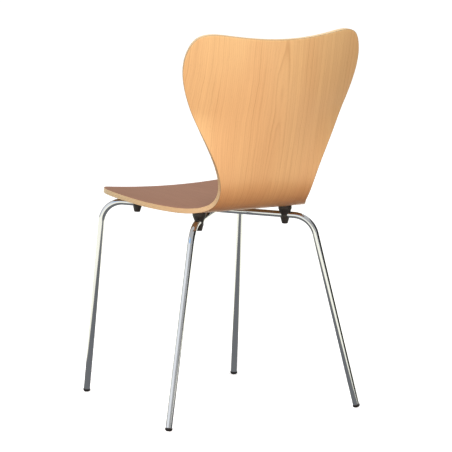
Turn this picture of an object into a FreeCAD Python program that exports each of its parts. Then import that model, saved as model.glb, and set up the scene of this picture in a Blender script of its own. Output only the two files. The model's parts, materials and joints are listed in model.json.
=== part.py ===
import FreeCAD, Part
import math
import os

import Sketcher
from FreeCAD import Placement, Rotation, Vector

# Stacking chair: a shell of seat and back pressed in one piece from plywood, brown veneer on
# the sitter's side and pale veneer outside, on four bent tube legs that cross under the seat.
# Millimetres. +Z is up, the sitter faces -Y, +X is the sitter's left. The origin is on the
# floor under the middle of the chair.

# ---------------------------------------------------------------- driving sizes
SIZES = [
    # shell: profile along the centre line, measured by its running length from the front edge
    ("shell_front_reach", 232.25, "front edge of the seat ahead of the origin"),
    ("front_roll_angle", 14.5, "slope of the rolled front edge, degrees"),
    ("front_roll_length", 68.0, "running length of the rolled front edge"),
    ("seat_pitch_front", 3.46, "seat slope behind the roll, to the crossing tubes, degrees"),
    ("seat_pitch_rear", -0.44, "seat slope at the bend, to the crossing tubes, degrees"),
    ("bend_middle", 393.5, "running length to the middle of the seat-to-back bend"),
    ("bend_length", 185.0, "running length of the bend"),
    ("lumbar_angle", 76.86, "slope of the back just above the bend, to the crossing tubes, degrees"),
    ("top_angle", 87.36, "slope of the back at its top, to the crossing tubes, degrees"),
    ("shell_length", 766.5, "running length from the front edge to the top of the shoulders"),
    # shell: hollow across the seat and across the back
    ("seat_hollow_radius", 1650.0, "sideways radius of the seat at its front"),
    ("lumbar_hollow_radius", 320.0, "sideways radius of the back just above the bend"),
    ("top_hollow_radius", 490.0, "sideways radius of the back at its top"),
    ("hollow_start", 409.0, "running length where the back begins to curve sideways"),
    ("hollow_growth", 196.0, "running length over which that curve grows to its full depth"),
    # shell: outline, half widths
    ("seat_half_width", 202.5, "half width of the seat at its widest"),
    ("waist_half_width", 115.0, "half width of the shell at the bend"),
    ("shoulder_half_width", 206.5, "half width of the back at its widest"),
    ("top_dip", 8.5, "dip of the top edge between the shoulders"),
    # shell: plies
    ("face_ply", 0.6, "thickness of each face veneer"),
    ("core_ply", 1.4, "thickness of each core ply"),
    ("core_count", 7, "number of core plies"),
    # tube frame: centre lines of the legs
    ("front_foot_half_width", 190.0, "front foot, out from the middle"),
    ("front_foot_reach", 262.0, "front foot, ahead of the origin"),
    ("rear_foot_half_width", 233.5, "rear foot, out from the middle"),
    ("rear_foot_reach", 184.0, "rear foot, behind the origin"),
    ("front_knee_half_width", 175.0, "front bend, out from the middle"),
    ("front_knee_reach", 205.7, "front bend, ahead of the origin"),
    ("front_knee_height", 434.0, "front bend above the floor"),
    ("rear_knee_half_width", 146.3, "rear bend, out from the middle"),
    ("rear_knee_reach", 135.2, "rear bend, behind the origin"),
    ("rear_knee_height", 417.0, "rear bend above the floor"),
    ("knee_radius", 50.0, "centre-line radius of each bend"),
    ("tube_outer", 14.0, "tube, outer diameter"),
    ("tube_wall", 2.0, "tube, wall"),
    ("shell_gap", 12.4, "top of the crossing tubes to the underside of the shell"),
    # hub
    ("hub_plate_diameter", 90.0, "round plate welded on the crossing tubes"),
    ("hub_plate_thickness", 3.0, "its thickness"),
    ("hub_pad_diameter", 84.0, "moulded pad between plate and shell"),
    ("hub_screw_circle", 60.0, "diameter of the circle of the four hub screws"),
    ("hub_screw_diameter", 6.0, "hub screw, shank"),
    ("hub_head_diameter", 12.0, "hub screw, pan head"),
    ("hub_head_height", 3.6, "hub screw, pan head"),
    ("weld_size", 2.2, "throat of the weld beads"),
    # supports near the edge of the shell
    ("front_support_inset", 78.5, "support along the tube, in from the front bend"),
    ("rear_support_inset", 58.5, "support along the tube, in from the rear bend"),
    ("saddle_top_diameter", 29.0, "saddle where it carries the shell"),
    ("saddle_rim_height", 13.0, "height above the tube's centre where the saddle stops flaring"),
    ("saddle_waist_diameter", 19.0, "saddle at its lower end"),
    ("saddle_skirt", 5.5, "saddle's lower end below the tube's centre"),
    ("bumper_top_diameter", 20.0, "bumper under the tube, upper end"),
    ("bumper_tip_diameter", 13.0, "bumper, lower end"),
    ("bumper_reach", 19.5, "bumper's lower end below the tube's centre"),
    ("bumper_edge", 1.5, "rounding of the bumper's lower edge"),
    ("support_screw_diameter", 5.0, "support screw, shank"),
    ("support_head_diameter", 8.6, "support screw, head sunk in the bumper"),
    ("support_head_height", 3.2, "support screw, head"),
    ("head_depth", 5.5, "depth of the bumper's pocket for the screw head"),
    # nuts pressed into the core plies
    ("nut_flange_diameter", 14.0, "flange of the pressed-in nut"),
    ("nut_flange_thickness", 1.0, "its thickness"),
    ("nut_wall", 1.0, "wall of the nut's barrel"),
    ("nut_barrel", 7.0, "length of the barrel below the flange"),
    # glides
    ("glide_diameter", 16.0, "glide cap at its rim"),
    ("glide_height", 6.5, "cap height along the leg"),
    ("glide_rounding", 5.0, "rounding of the cap's lower edge"),
    ("glide_flat", 0.5, "how much of the rounded cap is flattened by the floor"),
    ("glide_plug", 16.0, "length of the plug inside the tube"),
    # named clearances
    ("fit_gap", 0.1, "moulded piece to tube, and plug to bore"),
    ("screw_gap", 0.3, "screw shank to its hole, all round"),
    ("nut_gap", 0.05, "nut to its hole in the plies, all round"),
]

doc = FreeCAD.newDocument("stacking_chair")
sheet = doc.addObject("Spreadsheet::Sheet", "Sizes")
for row, (alias, value, note) in enumerate(SIZES, start=1):
    sheet.set(f"A{row}", alias)
    sheet.set(f"B{row}", str(value))
    sheet.set(f"C{row}", note)
    sheet.setAlias(f"B{row}", alias)
doc.recompute()


def size(alias):
    """A driving size, read from the sheet."""
    return float(sheet.get(alias))


# ---------------------------------------------------------------- frame: centre lines
def frame_point(half_width, reach, height, side):
    return Vector(side * size(half_width), reach, height)


LEFT, RIGHT = 1, -1


def front_knee(side):
    return frame_point("front_knee_half_width", -size("front_knee_reach"), size("front_knee_height"), side)


def rear_knee(side):
    return frame_point("rear_knee_half_width", size("rear_knee_reach"), size("rear_knee_height"), side)


def front_foot(side):
    return frame_point("front_foot_half_width", -size("front_foot_reach"), 0.0, side)


def rear_foot(side):
    return frame_point("rear_foot_half_width", size("rear_foot_reach"), 0.0, side)


TUBE_RADIUS = size("tube_outer") / 2
BORE_RADIUS = TUBE_RADIUS - size("tube_wall")
cross_share = size("front_knee_half_width") / (size("front_knee_half_width") + size("rear_knee_half_width"))
HUB = front_knee(LEFT) + (rear_knee(RIGHT) - front_knee(LEFT)) * cross_share
run_left = (rear_knee(RIGHT) - front_knee(LEFT)).normalize()
run_right = (rear_knee(LEFT) - front_knee(RIGHT)).normalize()
HUB_UP = run_right.cross(run_left).normalize()
if HUB_UP.z < 0:
    HUB_UP = HUB_UP * -1
FRAME_TILT = math.degrees(math.atan2(HUB_UP.y, HUB_UP.z))    # fall of the crossing tubes to the rear


def hub_place(distance):
    """Placement at a height above the crossing tubes' centre, square to both of them."""
    return Placement(HUB + HUB_UP * distance, Rotation(Vector(0, 0, 1), HUB_UP))


# ---------------------------------------------------------------- shell: shape by formula
SHELL_LENGTH = size("shell_length")
BEND_MIDDLE = size("bend_middle")
BEND_START = BEND_MIDDLE - size("bend_length") / 2
BEND_END = BEND_MIDDLE + size("bend_length") / 2
CORE_COUNT = int(size("core_count"))
SHELL_THICKNESS = 2 * size("face_ply") + CORE_COUNT * size("core_ply")


def clamp(value):
    return min(1.0, max(0.0, value))


def ease(value):
    """0 to 1 with level ends, for a curve that grows."""
    value = clamp(value)
    return value * value * (3 - 2 * value)


def soft_ease(value):
    """0 to 1 with level, unbent ends, for the press bend."""
    value = clamp(value)
    return value ** 3 * (10 + value * (6 * value - 15))


def slope(run):
    """Slope of the centre line in radians, at a running length from the front edge."""
    roll = size("front_roll_angle") * max(0.0, 1 - run / size("front_roll_length")) ** 2
    pitch_change = size("seat_pitch_rear") - size("seat_pitch_front")
    seat = size("seat_pitch_front") + pitch_change * run / BEND_MIDDLE + roll
    height_share = max(0.0, (run - BEND_END) / (SHELL_LENGTH - BEND_END))
    back = size("lumbar_angle") + (size("top_angle") - size("lumbar_angle")) * height_share ** 2
    bent = soft_ease((run - BEND_START) / (BEND_END - BEND_START))
    return math.radians(seat + (back - seat) * bent - FRAME_TILT)


def hollow(run):
    """Sideways curvature of the shell, per millimetre."""
    seat = max(0.0, 1 - run / BEND_MIDDLE) / size("seat_hollow_radius")
    height_share = (run - BEND_END) / (SHELL_LENGTH - BEND_END)
    lumbar = (1 - height_share) / size("lumbar_hollow_radius")
    top = height_share / size("top_hollow_radius")
    grown = ease((run - size("hollow_start")) / size("hollow_growth"))
    return seat + grown * (lumbar + top)


MARGIN = 16          # how far the layer surfaces run on past the outline
STEP = 1.0           # step of the running sum along the centre line
profile_points = [(0.0, 0.0)]
for index in range(int(SHELL_LENGTH + 2 * MARGIN)):
    angle = slope(-MARGIN + (index + 0.5) * STEP)
    last_y, last_z = profile_points[-1]
    profile_points.append((last_y + STEP * math.cos(angle), last_z + STEP * math.sin(angle)))
front_y, front_z = profile_points[MARGIN]


def centre(run):
    """Centre line of the sitter's face, measured from the front edge."""
    place = min(max((run + MARGIN) / STEP, 0.0), len(profile_points) - 1.001)
    index = int(place)
    (y0, z0), (y1, z1) = profile_points[index], profile_points[index + 1]
    share = place - index
    return y0 + (y1 - y0) * share - front_y, z0 + (z1 - z0) * share - front_z


def raw_face(across, run):
    """Sitter's face of the shell before it is set on the frame."""
    y, z = centre(run)
    rise = hollow(run) * across * across / 2
    angle = slope(run)
    return Vector(across, y - rise * math.sin(angle), z + rise * math.cos(angle))


def raw_normal(across, run):
    """Unit normal of the sitter's face, toward the sitter."""
    small = 0.5
    sideways = raw_face(across + small, run) - raw_face(across - small, run)
    backward = raw_face(across, run + small) - raw_face(across, run - small)
    return sideways.cross(backward).normalize()


# ---------------------------------------------------------------- shell set on the frame
def run_at(y, guess):
    """Running length where the centre line of the shell passes over a given y."""
    run = guess
    for _ in range(30):
        run += (y + size("shell_front_reach") - centre(run)[0]) / math.cos(slope(run))
    return run


hub_run = run_at(HUB.y, BEND_MIDDLE / 2)
hub_face_height = HUB.z + (TUBE_RADIUS + size("shell_gap") + SHELL_THICKNESS) / HUB_UP.z
SHELL_PLACE = Vector(0, -size("shell_front_reach"), hub_face_height - centre(hub_run)[1])


def layer_point(across, run, depth):
    """A point of the shell at a depth below the sitter's face."""
    return raw_face(across, run) + SHELL_PLACE - raw_normal(across, run) * depth


def even_knots(low, high, count):
    return [low + (high - low) * index / count for index in range(count + 1)]


def pole_stations(knots):
    """Where a cubic surface's poles stand so that it keeps straight lines straight."""
    padded = [knots[0]] * 3 + knots + [knots[-1]] * 3
    return [sum(padded[i + 1:i + 4]) / 3 for i in range(len(padded) - 4)]


WIDEST = max(size("seat_half_width"), size("shoulder_half_width"))
ACROSS_KNOTS = even_knots(-WIDEST - MARGIN / 2, WIDEST + MARGIN / 2, 18)
RUN_KNOTS = even_knots(-MARGIN / 2, SHELL_LENGTH + MARGIN / 2, 54)


def layer_surface(depth):
    """Cubic surface of one face of a ply; its parameters are the across and run lengths."""
    poles = [[layer_point(across, run, depth) for run in pole_stations(RUN_KNOTS)]
             for across in pole_stations(ACROSS_KNOTS)]
    across_counts = [4] + [1] * (len(ACROSS_KNOTS) - 2) + [4]
    run_counts = [4] + [1] * (len(RUN_KNOTS) - 2) + [4]
    surface = Part.BSplineSurface()
    surface.buildFromPolesMultsKnots(poles, across_counts, run_counts, ACROSS_KNOTS, RUN_KNOTS,
                                     False, False, 3, 3)
    return surface


def outline_points():
    """Half of the blank's outline, from the middle of the front edge round to the top."""
    seat = size("seat_half_width")
    waist = size("waist_half_width")
    shoulder = size("shoulder_half_width")
    top = SHELL_LENGTH
    return [
        (0, 0),                                 # front edge, a little bowed
        (seat - 142.5, 1.5),
        (seat - 92.5, 6.5),
        (seat - 54.5, 17.5),
        (seat - 29.5, 33.5),                    # front corner
        (seat - 15.5, 53.5),
        (seat - 6.5, 79),
        (seat - 1.5, 111.5),
        (seat, 150),
        (seat - 1, 183),                        # straight side of the seat
        (seat - 8, 243),
        (waist + 42.5, BEND_MIDDLE - 65.5),     # drawn in toward the bend
        (waist, BEND_MIDDLE),                   # waist
        (waist + 4.5, BEND_MIDDLE + 69.5),
        (shoulder - 56.5, top - 233),           # flare of the back
        (shoulder - 18.5, top - 150),
        (shoulder, top - 85),                   # shoulder
        (shoulder - 2.5, top - 36),
        (shoulder - 17.5, top - 7),
        (shoulder - 87.5, top),                 # top of the shoulder
        (0, top - size("top_dip")),             # dip between the shoulders
    ]


half_outline = outline_points()
whole_outline = half_outline + [(-across, run) for across, run in half_outline[-2:0:-1]]
outline = Part.Geom2d.BSplineCurve2d()
outline.interpolate(Points=[FreeCAD.Base.Vector2d(*point) for point in whole_outline],
                    PeriodicFlag=True)


def trimmed_face(depth):
    """One face of a ply, trimmed to the outline."""
    surface = layer_surface(depth)
    quarters = even_knots(outline.FirstParameter, outline.LastParameter, 4)
    edges = [outline.toShape(surface, start, end) for start, end in zip(quarters, quarters[1:])]
    return Part.Face(surface, Part.Wire(edges))


def ply_solid(upper_face, lower_face):
    """Solid between two trimmed faces, with its edge square to them."""
    pairs = zip(upper_face.OuterWire.OrderedEdges, lower_face.OuterWire.OrderedEdges)
    walls = [Part.makeRuledSurface(upper, lower) for upper, lower in pairs]
    skin = Part.makeCompound([upper_face, lower_face] + walls)
    skin.sewShape()
    solid = Part.makeSolid(skin.Shells[0])
    if solid.Volume < 0:
        solid.reverse()
    return solid


depths = [0.0, size("face_ply")]
for _ in range(CORE_COUNT):
    depths.append(depths[-1] + size("core_ply"))
depths.append(depths[-1] + size("face_ply"))
layer_faces = [trimmed_face(depth) for depth in depths]
ply_blanks = [ply_solid(upper, lower) for upper, lower in zip(layer_faces, layer_faces[1:])]
SITTER_ROOM = 30.0   # what stands under the shell is cut off level with its underside
space_above = ply_solid(trimmed_face(-SITTER_ROOM), layer_faces[-1])


# ---------------------------------------------------------------- document helpers
PARTS = {}


def keep(node, item):
    """Name a finished sub-part after its node."""
    item.Label = node
    PARTS[node] = item
    return item


def fixed_shape(name, shape):
    item = doc.addObject("Part::Feature", name)
    item.Shape = shape
    return item


def cut(name, base, tools):
    """Base less one or more tools, as a chain of Part cuts."""
    for number, tool in enumerate(tools, start=1):
        step = doc.addObject("Part::Cut", f"{name}_cut{number}")
        step.Base = base
        step.Tool = tool
        base = step
    return base


def origin_plane(body, role):
    return next(plane for plane in body.Origin.OriginFeatures if plane.Role == role)


def new_sketch(body, name, role):
    sketch = body.newObject("Sketcher::SketchObject", name)
    sketch.AttachmentSupport = [(origin_plane(body, role), "")]
    sketch.MapMode = "FlatFace"
    return sketch


def pin_corner(sketch, line, corner):
    """Tie the first end of a line to two expressions of the sheet's sizes."""
    axes = (("DistanceX", -2), ("DistanceY", -1))
    for (kind, axis), rule in zip(axes, corner):
        value = sheet.evalExpression(rule)
        if rule == "0":
            sketch.addConstraint(Sketcher.Constraint("PointOnObject", line, 1, axis))
            continue
        datum = sketch.addConstraint(Sketcher.Constraint(kind, -1, 1, line, 1, float(value)))
        sketch.setExpression(f"Constraints[{datum}]", rule_in_sheet(rule))


def rule_in_sheet(rule):
    """The same expression, with every alias named as a cell of the sheet."""
    words = rule.replace("(", " ( ").replace(")", " ) ").split()
    aliases = {alias for alias, _, _ in SIZES}
    return " ".join(f"{sheet.Name}.{word}" if word in aliases else word for word in words)


def turned_body(name, corners):
    """A body turned about its own Z axis from a closed profile of (radius, height) corners."""
    body = doc.addObject("PartDesign::Body", name)
    sketch = new_sketch(body, f"{name}_profile", "XZ_Plane")
    places = [Vector(float(sheet.evalExpression(x)), float(sheet.evalExpression(z)), 0)
              for x, z in corners]
    for index, place in enumerate(places):
        following = places[(index + 1) % len(places)]
        sketch.addGeometry(Part.LineSegment(place, following), False)
    for index in range(len(places)):
        following = (index + 1) % len(places)
        sketch.addConstraint(Sketcher.Constraint("Coincident", index, 2, following, 1))
    for index, corner in enumerate(corners):
        pin_corner(sketch, index, corner)
    turn = body.newObject("PartDesign::Revolution", f"{name}_turn")
    turn.Profile = sketch
    turn.ReferenceAxis = (sketch, ["V_Axis"])
    turn.Angle = 360
    return body


def lower_rim(shape, height):
    """Name of the outermost level edge at a height."""
    best = None
    for number, edge in enumerate(shape.Edges, start=1):
        box = edge.BoundBox
        level = abs(box.ZMin - height) < 1e-4 and abs(box.ZMax - height) < 1e-4
        if level and (best is None or box.XLength > best[0]):
            best = (box.XLength, f"Edge{number}")
    return best[1]


def round_rim(body, feature_name, height_rule, radius_alias):
    """Fillet on the rim of a turned body at a given height."""
    doc.recompute()
    tip = body.Tip
    height = float(sheet.evalExpression(height_rule))
    fillet = body.newObject("PartDesign::Fillet", feature_name)
    fillet.Base = (tip, [lower_rim(tip.Shape, height)])
    fillet.setExpression("Radius", f"{sheet.Name}.{radius_alias}")


def placed_copy(name, master, place):
    """A copy of a turned body's shape, set in its place."""
    item = fixed_shape(name, master.Shape.copy())
    item.Placement = place
    return item


def group(node, items):
    """Identical small pieces kept in one node as separate solids."""
    compound = doc.addObject("Part::Compound", node)
    compound.Links = items
    return keep(node, compound)


def rod(name, diameter_rule, place, length):
    """Part cylinder used as a screw's hole; its placement puts its foot and its axis."""
    item = doc.addObject("Part::Cylinder", name)
    item.setExpression("Radius", f"({rule_in_sheet(diameter_rule)}) / 2")
    item.Height = length
    item.Placement = place
    return item


# ---------------------------------------------------------------- legs: paths and tubes
def bent_path(points, radius):
    """Straight runs joined by tangent arcs."""
    edges = []
    start = points[0]
    for before, corner, after in zip(points, points[1:], points[2:]):
        into = (corner - before).normalize()
        out = (after - corner).normalize()
        half_turn = into.getAngle(out) / 2
        reach = radius * math.tan(half_turn)
        arc_start = corner - into * reach
        arc_end = corner + out * reach
        inward = (out - into).normalize()
        middle = corner + inward * (radius / math.cos(half_turn) - radius)
        edges.append(Part.LineSegment(start, arc_start).toShape())
        edges.append(Part.Arc(arc_start, middle, arc_end).toShape())
        start = arc_end
    edges.append(Part.LineSegment(start, points[-1]).toShape())
    return Part.Wire(edges)


def glide_foot(foot, knee):
    """Centre of the glide's lower end, so that the floor flattens it by the same amount."""
    up = (knee - foot).normalize()
    lean = up.getAngle(Vector(0, 0, 1))
    edge = size("glide_rounding")
    flat_radius = size("glide_diameter") / 2 - edge
    drop = edge - edge * math.cos(lean) + flat_radius * math.sin(lean)
    return foot + up * ((drop - size("glide_flat")) / up.z), up


def tube_end(foot, knee):
    """Where a leg's tube stops, on top of the glide's cap."""
    base, up = glide_foot(foot, knee)
    return base + up * size("glide_height")


def swept(name, path_item, start, heading, radius_rule):
    """Round bar along a path, as a Part sweep."""
    ring = doc.addObject("Part::Circle", f"{name}_ring")
    ring.setExpression("Radius", rule_in_sheet(radius_rule))
    ring.Placement = Placement(start, Rotation(Vector(0, 0, 1), heading))
    sweep = doc.addObject("Part::Sweep", name)
    sweep.Sections = [ring]
    sweep.Spine = (path_item, [f"Edge{n}" for n in range(1, len(path_item.Shape.Edges) + 1)])
    sweep.Solid = True
    sweep.Frenet = False
    return sweep


def tube(name, points):
    """Outer bar and bore of a bent tube."""
    path_item = fixed_shape(f"{name}_path", bent_path(points, size("knee_radius")))
    heading = (points[1] - points[0]).normalize()
    bar = swept(f"{name}_bar", path_item, points[0], heading, "tube_outer / 2")
    bore = swept(f"{name}_bore", path_item, points[0], heading, "tube_outer / 2 - tube_wall")
    return bar, bore


through_points = [tube_end(front_foot(LEFT), front_knee(LEFT)), front_knee(LEFT),
                  rear_knee(RIGHT), tube_end(rear_foot(RIGHT), rear_knee(RIGHT))]
front_points = [tube_end(front_foot(RIGHT), front_knee(RIGHT)), front_knee(RIGHT), HUB]
rear_points = [tube_end(rear_foot(LEFT), rear_knee(LEFT)), rear_knee(LEFT), HUB]
through_bar, through_bore = tube("through", through_points)
front_bar, front_bore = tube("front", front_points)
rear_bar, rear_bore = tube("rear", rear_points)


# ---------------------------------------------------------------- supports: where they stand
def support_frame(tube_point):
    """Axis of a support: from the tube's centre square to the shell above it."""
    across, run = tube_point.x, run_at(tube_point.y, BEND_MIDDLE / 2)
    for _ in range(12):
        under = layer_point(across, run, SHELL_THICKNESS)
        normal = raw_normal(across, run)
        gap = (under - tube_point).dot(normal)
        foot = tube_point + normal * gap
        across += foot.x - under.x
        run += (foot.y - under.y) / math.cos(slope(run))
    return normal, gap


SUPPORTS = {}
for side, side_name in ((LEFT, "left"), (RIGHT, "right")):
    ends = (("front", front_knee(side), rear_knee(-side), "front_support_inset"),
            ("rear", rear_knee(side), front_knee(-side), "rear_support_inset"))
    for end_name, knee, far_knee, inset in ends:
        point = knee + (far_knee - knee).normalize() * size(inset)
        SUPPORTS[f"{end_name}_{side_name}"] = (point, *support_frame(point))


def support_place(spot, height):
    point, normal, _ = SUPPORTS[spot]
    return Placement(point + normal * height, Rotation(Vector(0, 0, 1), normal))


# ---------------------------------------------------------------- nuts and screws
TOP_CORE_DEPTH = size("face_ply") + size("core_ply")
NUT_SEAT_DEPTH = TOP_CORE_DEPTH - (size("core_ply") - size("nut_flange_thickness")) / 2


def nut_master(name, shank):
    """Flanged nut: flange upward, its seat at height 0 and its barrel below."""
    bore = f"{shank} / 2"
    barrel = f"{shank} / 2 + nut_wall"
    return turned_body(name, [
        (bore, "0 - nut_barrel"), (barrel, "0 - nut_barrel"), (barrel, "0"),
        ("nut_flange_diameter / 2", "0"),
        ("nut_flange_diameter / 2", "nut_flange_thickness"), (bore, "nut_flange_thickness")])


def screw_master(name, shank, head, head_height, length_alias):
    """Pan-head screw: its head's seat at height 0, its shank upward."""
    radius = f"{shank} / 2 - nut_gap"
    return turned_body(name, [
        ("0", f"0 - {head_height}"), (f"{head} / 2 - {head_height} / 3", f"0 - {head_height}"),
        (f"{head} / 2", f"0 - {head_height} / 2"), (f"{head} / 2", "0"), (radius, "0"),
        (radius, length_alias), ("0", length_alias)])


def add_size(alias, value, note):
    """A size worked out from the driving ones, kept in the sheet beside them."""
    row = len(SIZES) + 1
    SIZES.append((alias, value, note))
    sheet.set(f"A{row}", alias)
    sheet.set(f"B{row}", str(value))
    sheet.set(f"C{row}", note)
    sheet.setAlias(f"B{row}", alias)
    doc.recompute()


HUB_UNDER = TUBE_RADIUS                                  # underside of the hub plate
HUB_TOP = HUB_UNDER + size("hub_plate_thickness")        # top of the hub plate
hub_spots = []
for quarter in range(4):
    turn = math.radians(90 * quarter)
    reach = size("hub_screw_circle") / 2
    offset = Vector(reach * math.cos(turn), reach * math.sin(turn), 0)
    hub_spots.append(hub_place(0).multVec(offset))


def shell_gap_along(point, direction):
    """Distance from a point up to the sitter's face of the shell, along a direction."""
    distance = size("shell_gap") + SHELL_THICKNESS
    for _ in range(12):
        aim = point + direction * distance
        run = run_at(aim.y, BEND_MIDDLE / 2)
        face = layer_point(aim.x, run, 0)
        distance += (face - aim).dot(raw_normal(aim.x, run))
    return distance


hub_face_gaps = [shell_gap_along(spot, HUB_UP) for spot in hub_spots]
hub_nut_heights = [gap - NUT_SEAT_DEPTH for gap in hub_face_gaps]
support_nut_heights = {spot: gap + SHELL_THICKNESS - NUT_SEAT_DEPTH
                       for spot, (_, _, gap) in SUPPORTS.items()}
support_head_seat = -size("bumper_reach") + size("head_depth")

add_size("hub_screw_length", round(min(hub_nut_heights) - HUB_UNDER, 2),
         "hub screw from under the plate to the nut's flange")
add_size("support_screw_length", round(min(support_nut_heights.values()) - support_head_seat, 2),
         "support screw from the bumper's pocket to the nut's flange")

hub_nut = nut_master("hub_nut_master", "hub_screw_diameter")
support_nut = nut_master("support_nut_master", "support_screw_diameter")
hub_screw = screw_master("hub_screw_master", "hub_screw_diameter", "hub_head_diameter",
                         "hub_head_height", "hub_screw_length")
support_screw = screw_master("support_screw_master", "support_screw_diameter",
                             "support_head_diameter", "support_head_height",
                             "support_screw_length")
doc.recompute()


def upright(point, direction, height):
    return Placement(point + direction * height, Rotation(Vector(0, 0, 1), direction))


nut_places = []          # placement of every nut, with the alias of its screw
for number, (spot, height) in enumerate(zip(hub_spots, hub_nut_heights)):
    nut_places.append((f"hub_{number}", upright(spot, HUB_UP, height), "hub_screw_diameter"))
for spot in SUPPORTS:
    place = support_place(spot, support_nut_heights[spot])
    nut_places.append((spot, place, "support_screw_diameter"))

group("hub_t_nuts", [placed_copy(f"{name}_nut", hub_nut, place)
                     for name, place, shank in nut_places if shank == "hub_screw_diameter"])
group("support_t_nuts", [placed_copy(f"{name}_nut", support_nut, place)
                         for name, place, shank in nut_places if shank != "hub_screw_diameter"])
group("hub_screws", [placed_copy(f"hub_screw_{number}", hub_screw, upright(spot, HUB_UP, HUB_UNDER))
                     for number, spot in enumerate(hub_spots)])
group("support_screws", [placed_copy(f"{spot}_screw", support_screw,
                                     support_place(spot, support_head_seat)) for spot in SUPPORTS])


# ---------------------------------------------------------------- shell: veneers and core plies
def nut_holes(prefix):
    """Holes for the nuts' barrels and screws, from below the shell up to the nut's seat."""
    holes = []
    for name, place, shank in nut_places:
        foot = place.multiply(Placement(Vector(0, 0, -3 * SHELL_THICKNESS), Rotation()))
        holes.append(rod(f"{prefix}_{name}_hole", f"{shank} + 2 * nut_wall + 2 * nut_gap", foot,
                         3 * SHELL_THICKNESS))
    return holes


def flange_holes(prefix):
    """Wider holes through the top core ply, for the nuts' flanges."""
    holes = []
    for name, place, _ in nut_places:
        foot = place.multiply(Placement(Vector(0, 0, -SHELL_THICKNESS / 4), Rotation()))
        holes.append(rod(f"{prefix}_{name}_seat", "nut_flange_diameter + 2 * nut_gap", foot,
                         SHELL_THICKNESS / 2))
    return holes


def joined(name, items):
    fuse = doc.addObject("Part::MultiFuse", name)
    fuse.Shapes = items
    return fuse


barrel_holes = joined("barrel_holes", nut_holes("barrel"))
seat_holes = joined("seat_holes", flange_holes("flange"))

keep("inner_face_veneer", fixed_shape("inner_face_veneer", ply_blanks[0]))
for number, blank in enumerate(ply_blanks[1:], start=1):
    node = f"core_ply_{number}" if number <= CORE_COUNT else "outer_face_veneer"
    blank_item = fixed_shape(f"{node}_blank", blank)
    keep(node, cut(node, blank_item, [seat_holes if number == 1 else barrel_holes]))

shell_block = fixed_shape("shell_and_space_above", space_above)


# ---------------------------------------------------------------- frame: tubes, plate, welds
def drilled(name, bar, tools):
    """A tube with its bore, joints and screw holes cut."""
    return keep(name, cut(name, bar, tools))


def screw_hole(spot):
    """Hole for a support screw, through tube, saddle and bumper."""
    foot = support_place(spot, -size("bumper_reach") - 1)
    length = size("bumper_reach") + 1 + SUPPORTS[spot][2]
    return rod(f"{spot}_screw_hole", "support_screw_diameter + 2 * screw_gap", foot, length)


support_holes = {spot: screw_hole(spot) for spot in SUPPORTS}
drilled("through_leg_tube", through_bar,
        [through_bore, support_holes["front_left"], support_holes["rear_right"]])
drilled("front_right_leg_tube", front_bar, [front_bore, through_bar, support_holes["front_right"]])
drilled("rear_left_leg_tube", rear_bar, [rear_bore, through_bar, support_holes["rear_left"]])

plate = doc.addObject("PartDesign::Body", "hub_plate")
plate_sketch = new_sketch(plate, "hub_plate_outline", "XY_Plane")
origin_point = Vector(0, 0, 0)
up = Vector(0, 0, 1)
disc = plate_sketch.addGeometry(Part.Circle(origin_point, up, size("hub_plate_diameter") / 2), False)
plate_sketch.addConstraint(Sketcher.Constraint("Coincident", disc, 3, -1, 1))
width = plate_sketch.addConstraint(Sketcher.Constraint("Diameter", disc, size("hub_plate_diameter")))
plate_sketch.setExpression(f"Constraints[{width}]", "Sizes.hub_plate_diameter")
plate_pad = plate.newObject("PartDesign::Pad", "hub_plate_pad")
plate_pad.Profile = plate_sketch
plate_pad.setExpression("Length", "Sizes.hub_plate_thickness")
hole_sketch = new_sketch(plate, "hub_plate_holes", "XY_Plane")
first_hole = hole_sketch.addGeometry(
    Part.Circle(Vector(size("hub_screw_circle") / 2, 0, 0), up, size("hub_screw_diameter") / 2), False)
hole_sketch.addConstraint(Sketcher.Constraint("PointOnObject", first_hole, 3, -1))
place_rule = hole_sketch.addConstraint(
    Sketcher.Constraint("DistanceX", -1, 1, first_hole, 3, size("hub_screw_circle") / 2))
hole_sketch.setExpression(f"Constraints[{place_rule}]", "Sizes.hub_screw_circle / 2")
bore_rule = hole_sketch.addConstraint(
    Sketcher.Constraint("Diameter", first_hole, size("hub_screw_diameter")))
hole_sketch.setExpression(f"Constraints[{bore_rule}]", "Sizes.hub_screw_diameter + 2 * Sizes.screw_gap")
hole_cut = plate.newObject("PartDesign::Pocket", "hub_plate_hole")
hole_cut.Profile = hole_sketch
hole_cut.Type = "ThroughAll"
hole_cut.Midplane = True
hole_ring = plate.newObject("PartDesign::PolarPattern", "hub_plate_hole_ring")
hole_ring.Originals = [hole_cut]
hole_ring.Axis = (plate_sketch, ["N_Axis"])
hole_ring.Angle = 360
hole_ring.Occurrences = len(hub_spots)
plate.Tip = hole_ring
plate.Placement = hub_place(HUB_UNDER)
keep("hub_plate", plate)

pad_blank = doc.addObject("Part::Cylinder", "hub_pad_blank")
pad_blank.setExpression("Radius", "Sizes.hub_pad_diameter / 2")
pad_blank.setExpression("Height", "Sizes.shell_gap + Sizes.core_ply * Sizes.core_count")
pad_blank.Placement = hub_place(HUB_TOP)
pad_holes = [rod(f"hub_pad_hole_{number}", "hub_screw_diameter + 2 * screw_gap",
                 upright(spot, HUB_UP, HUB_UNDER), 3 * SHELL_THICKNESS)
             for number, spot in enumerate(hub_spots)]
keep("hub_pad", cut("hub_pad", pad_blank, [shell_block] + pad_holes))


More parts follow.
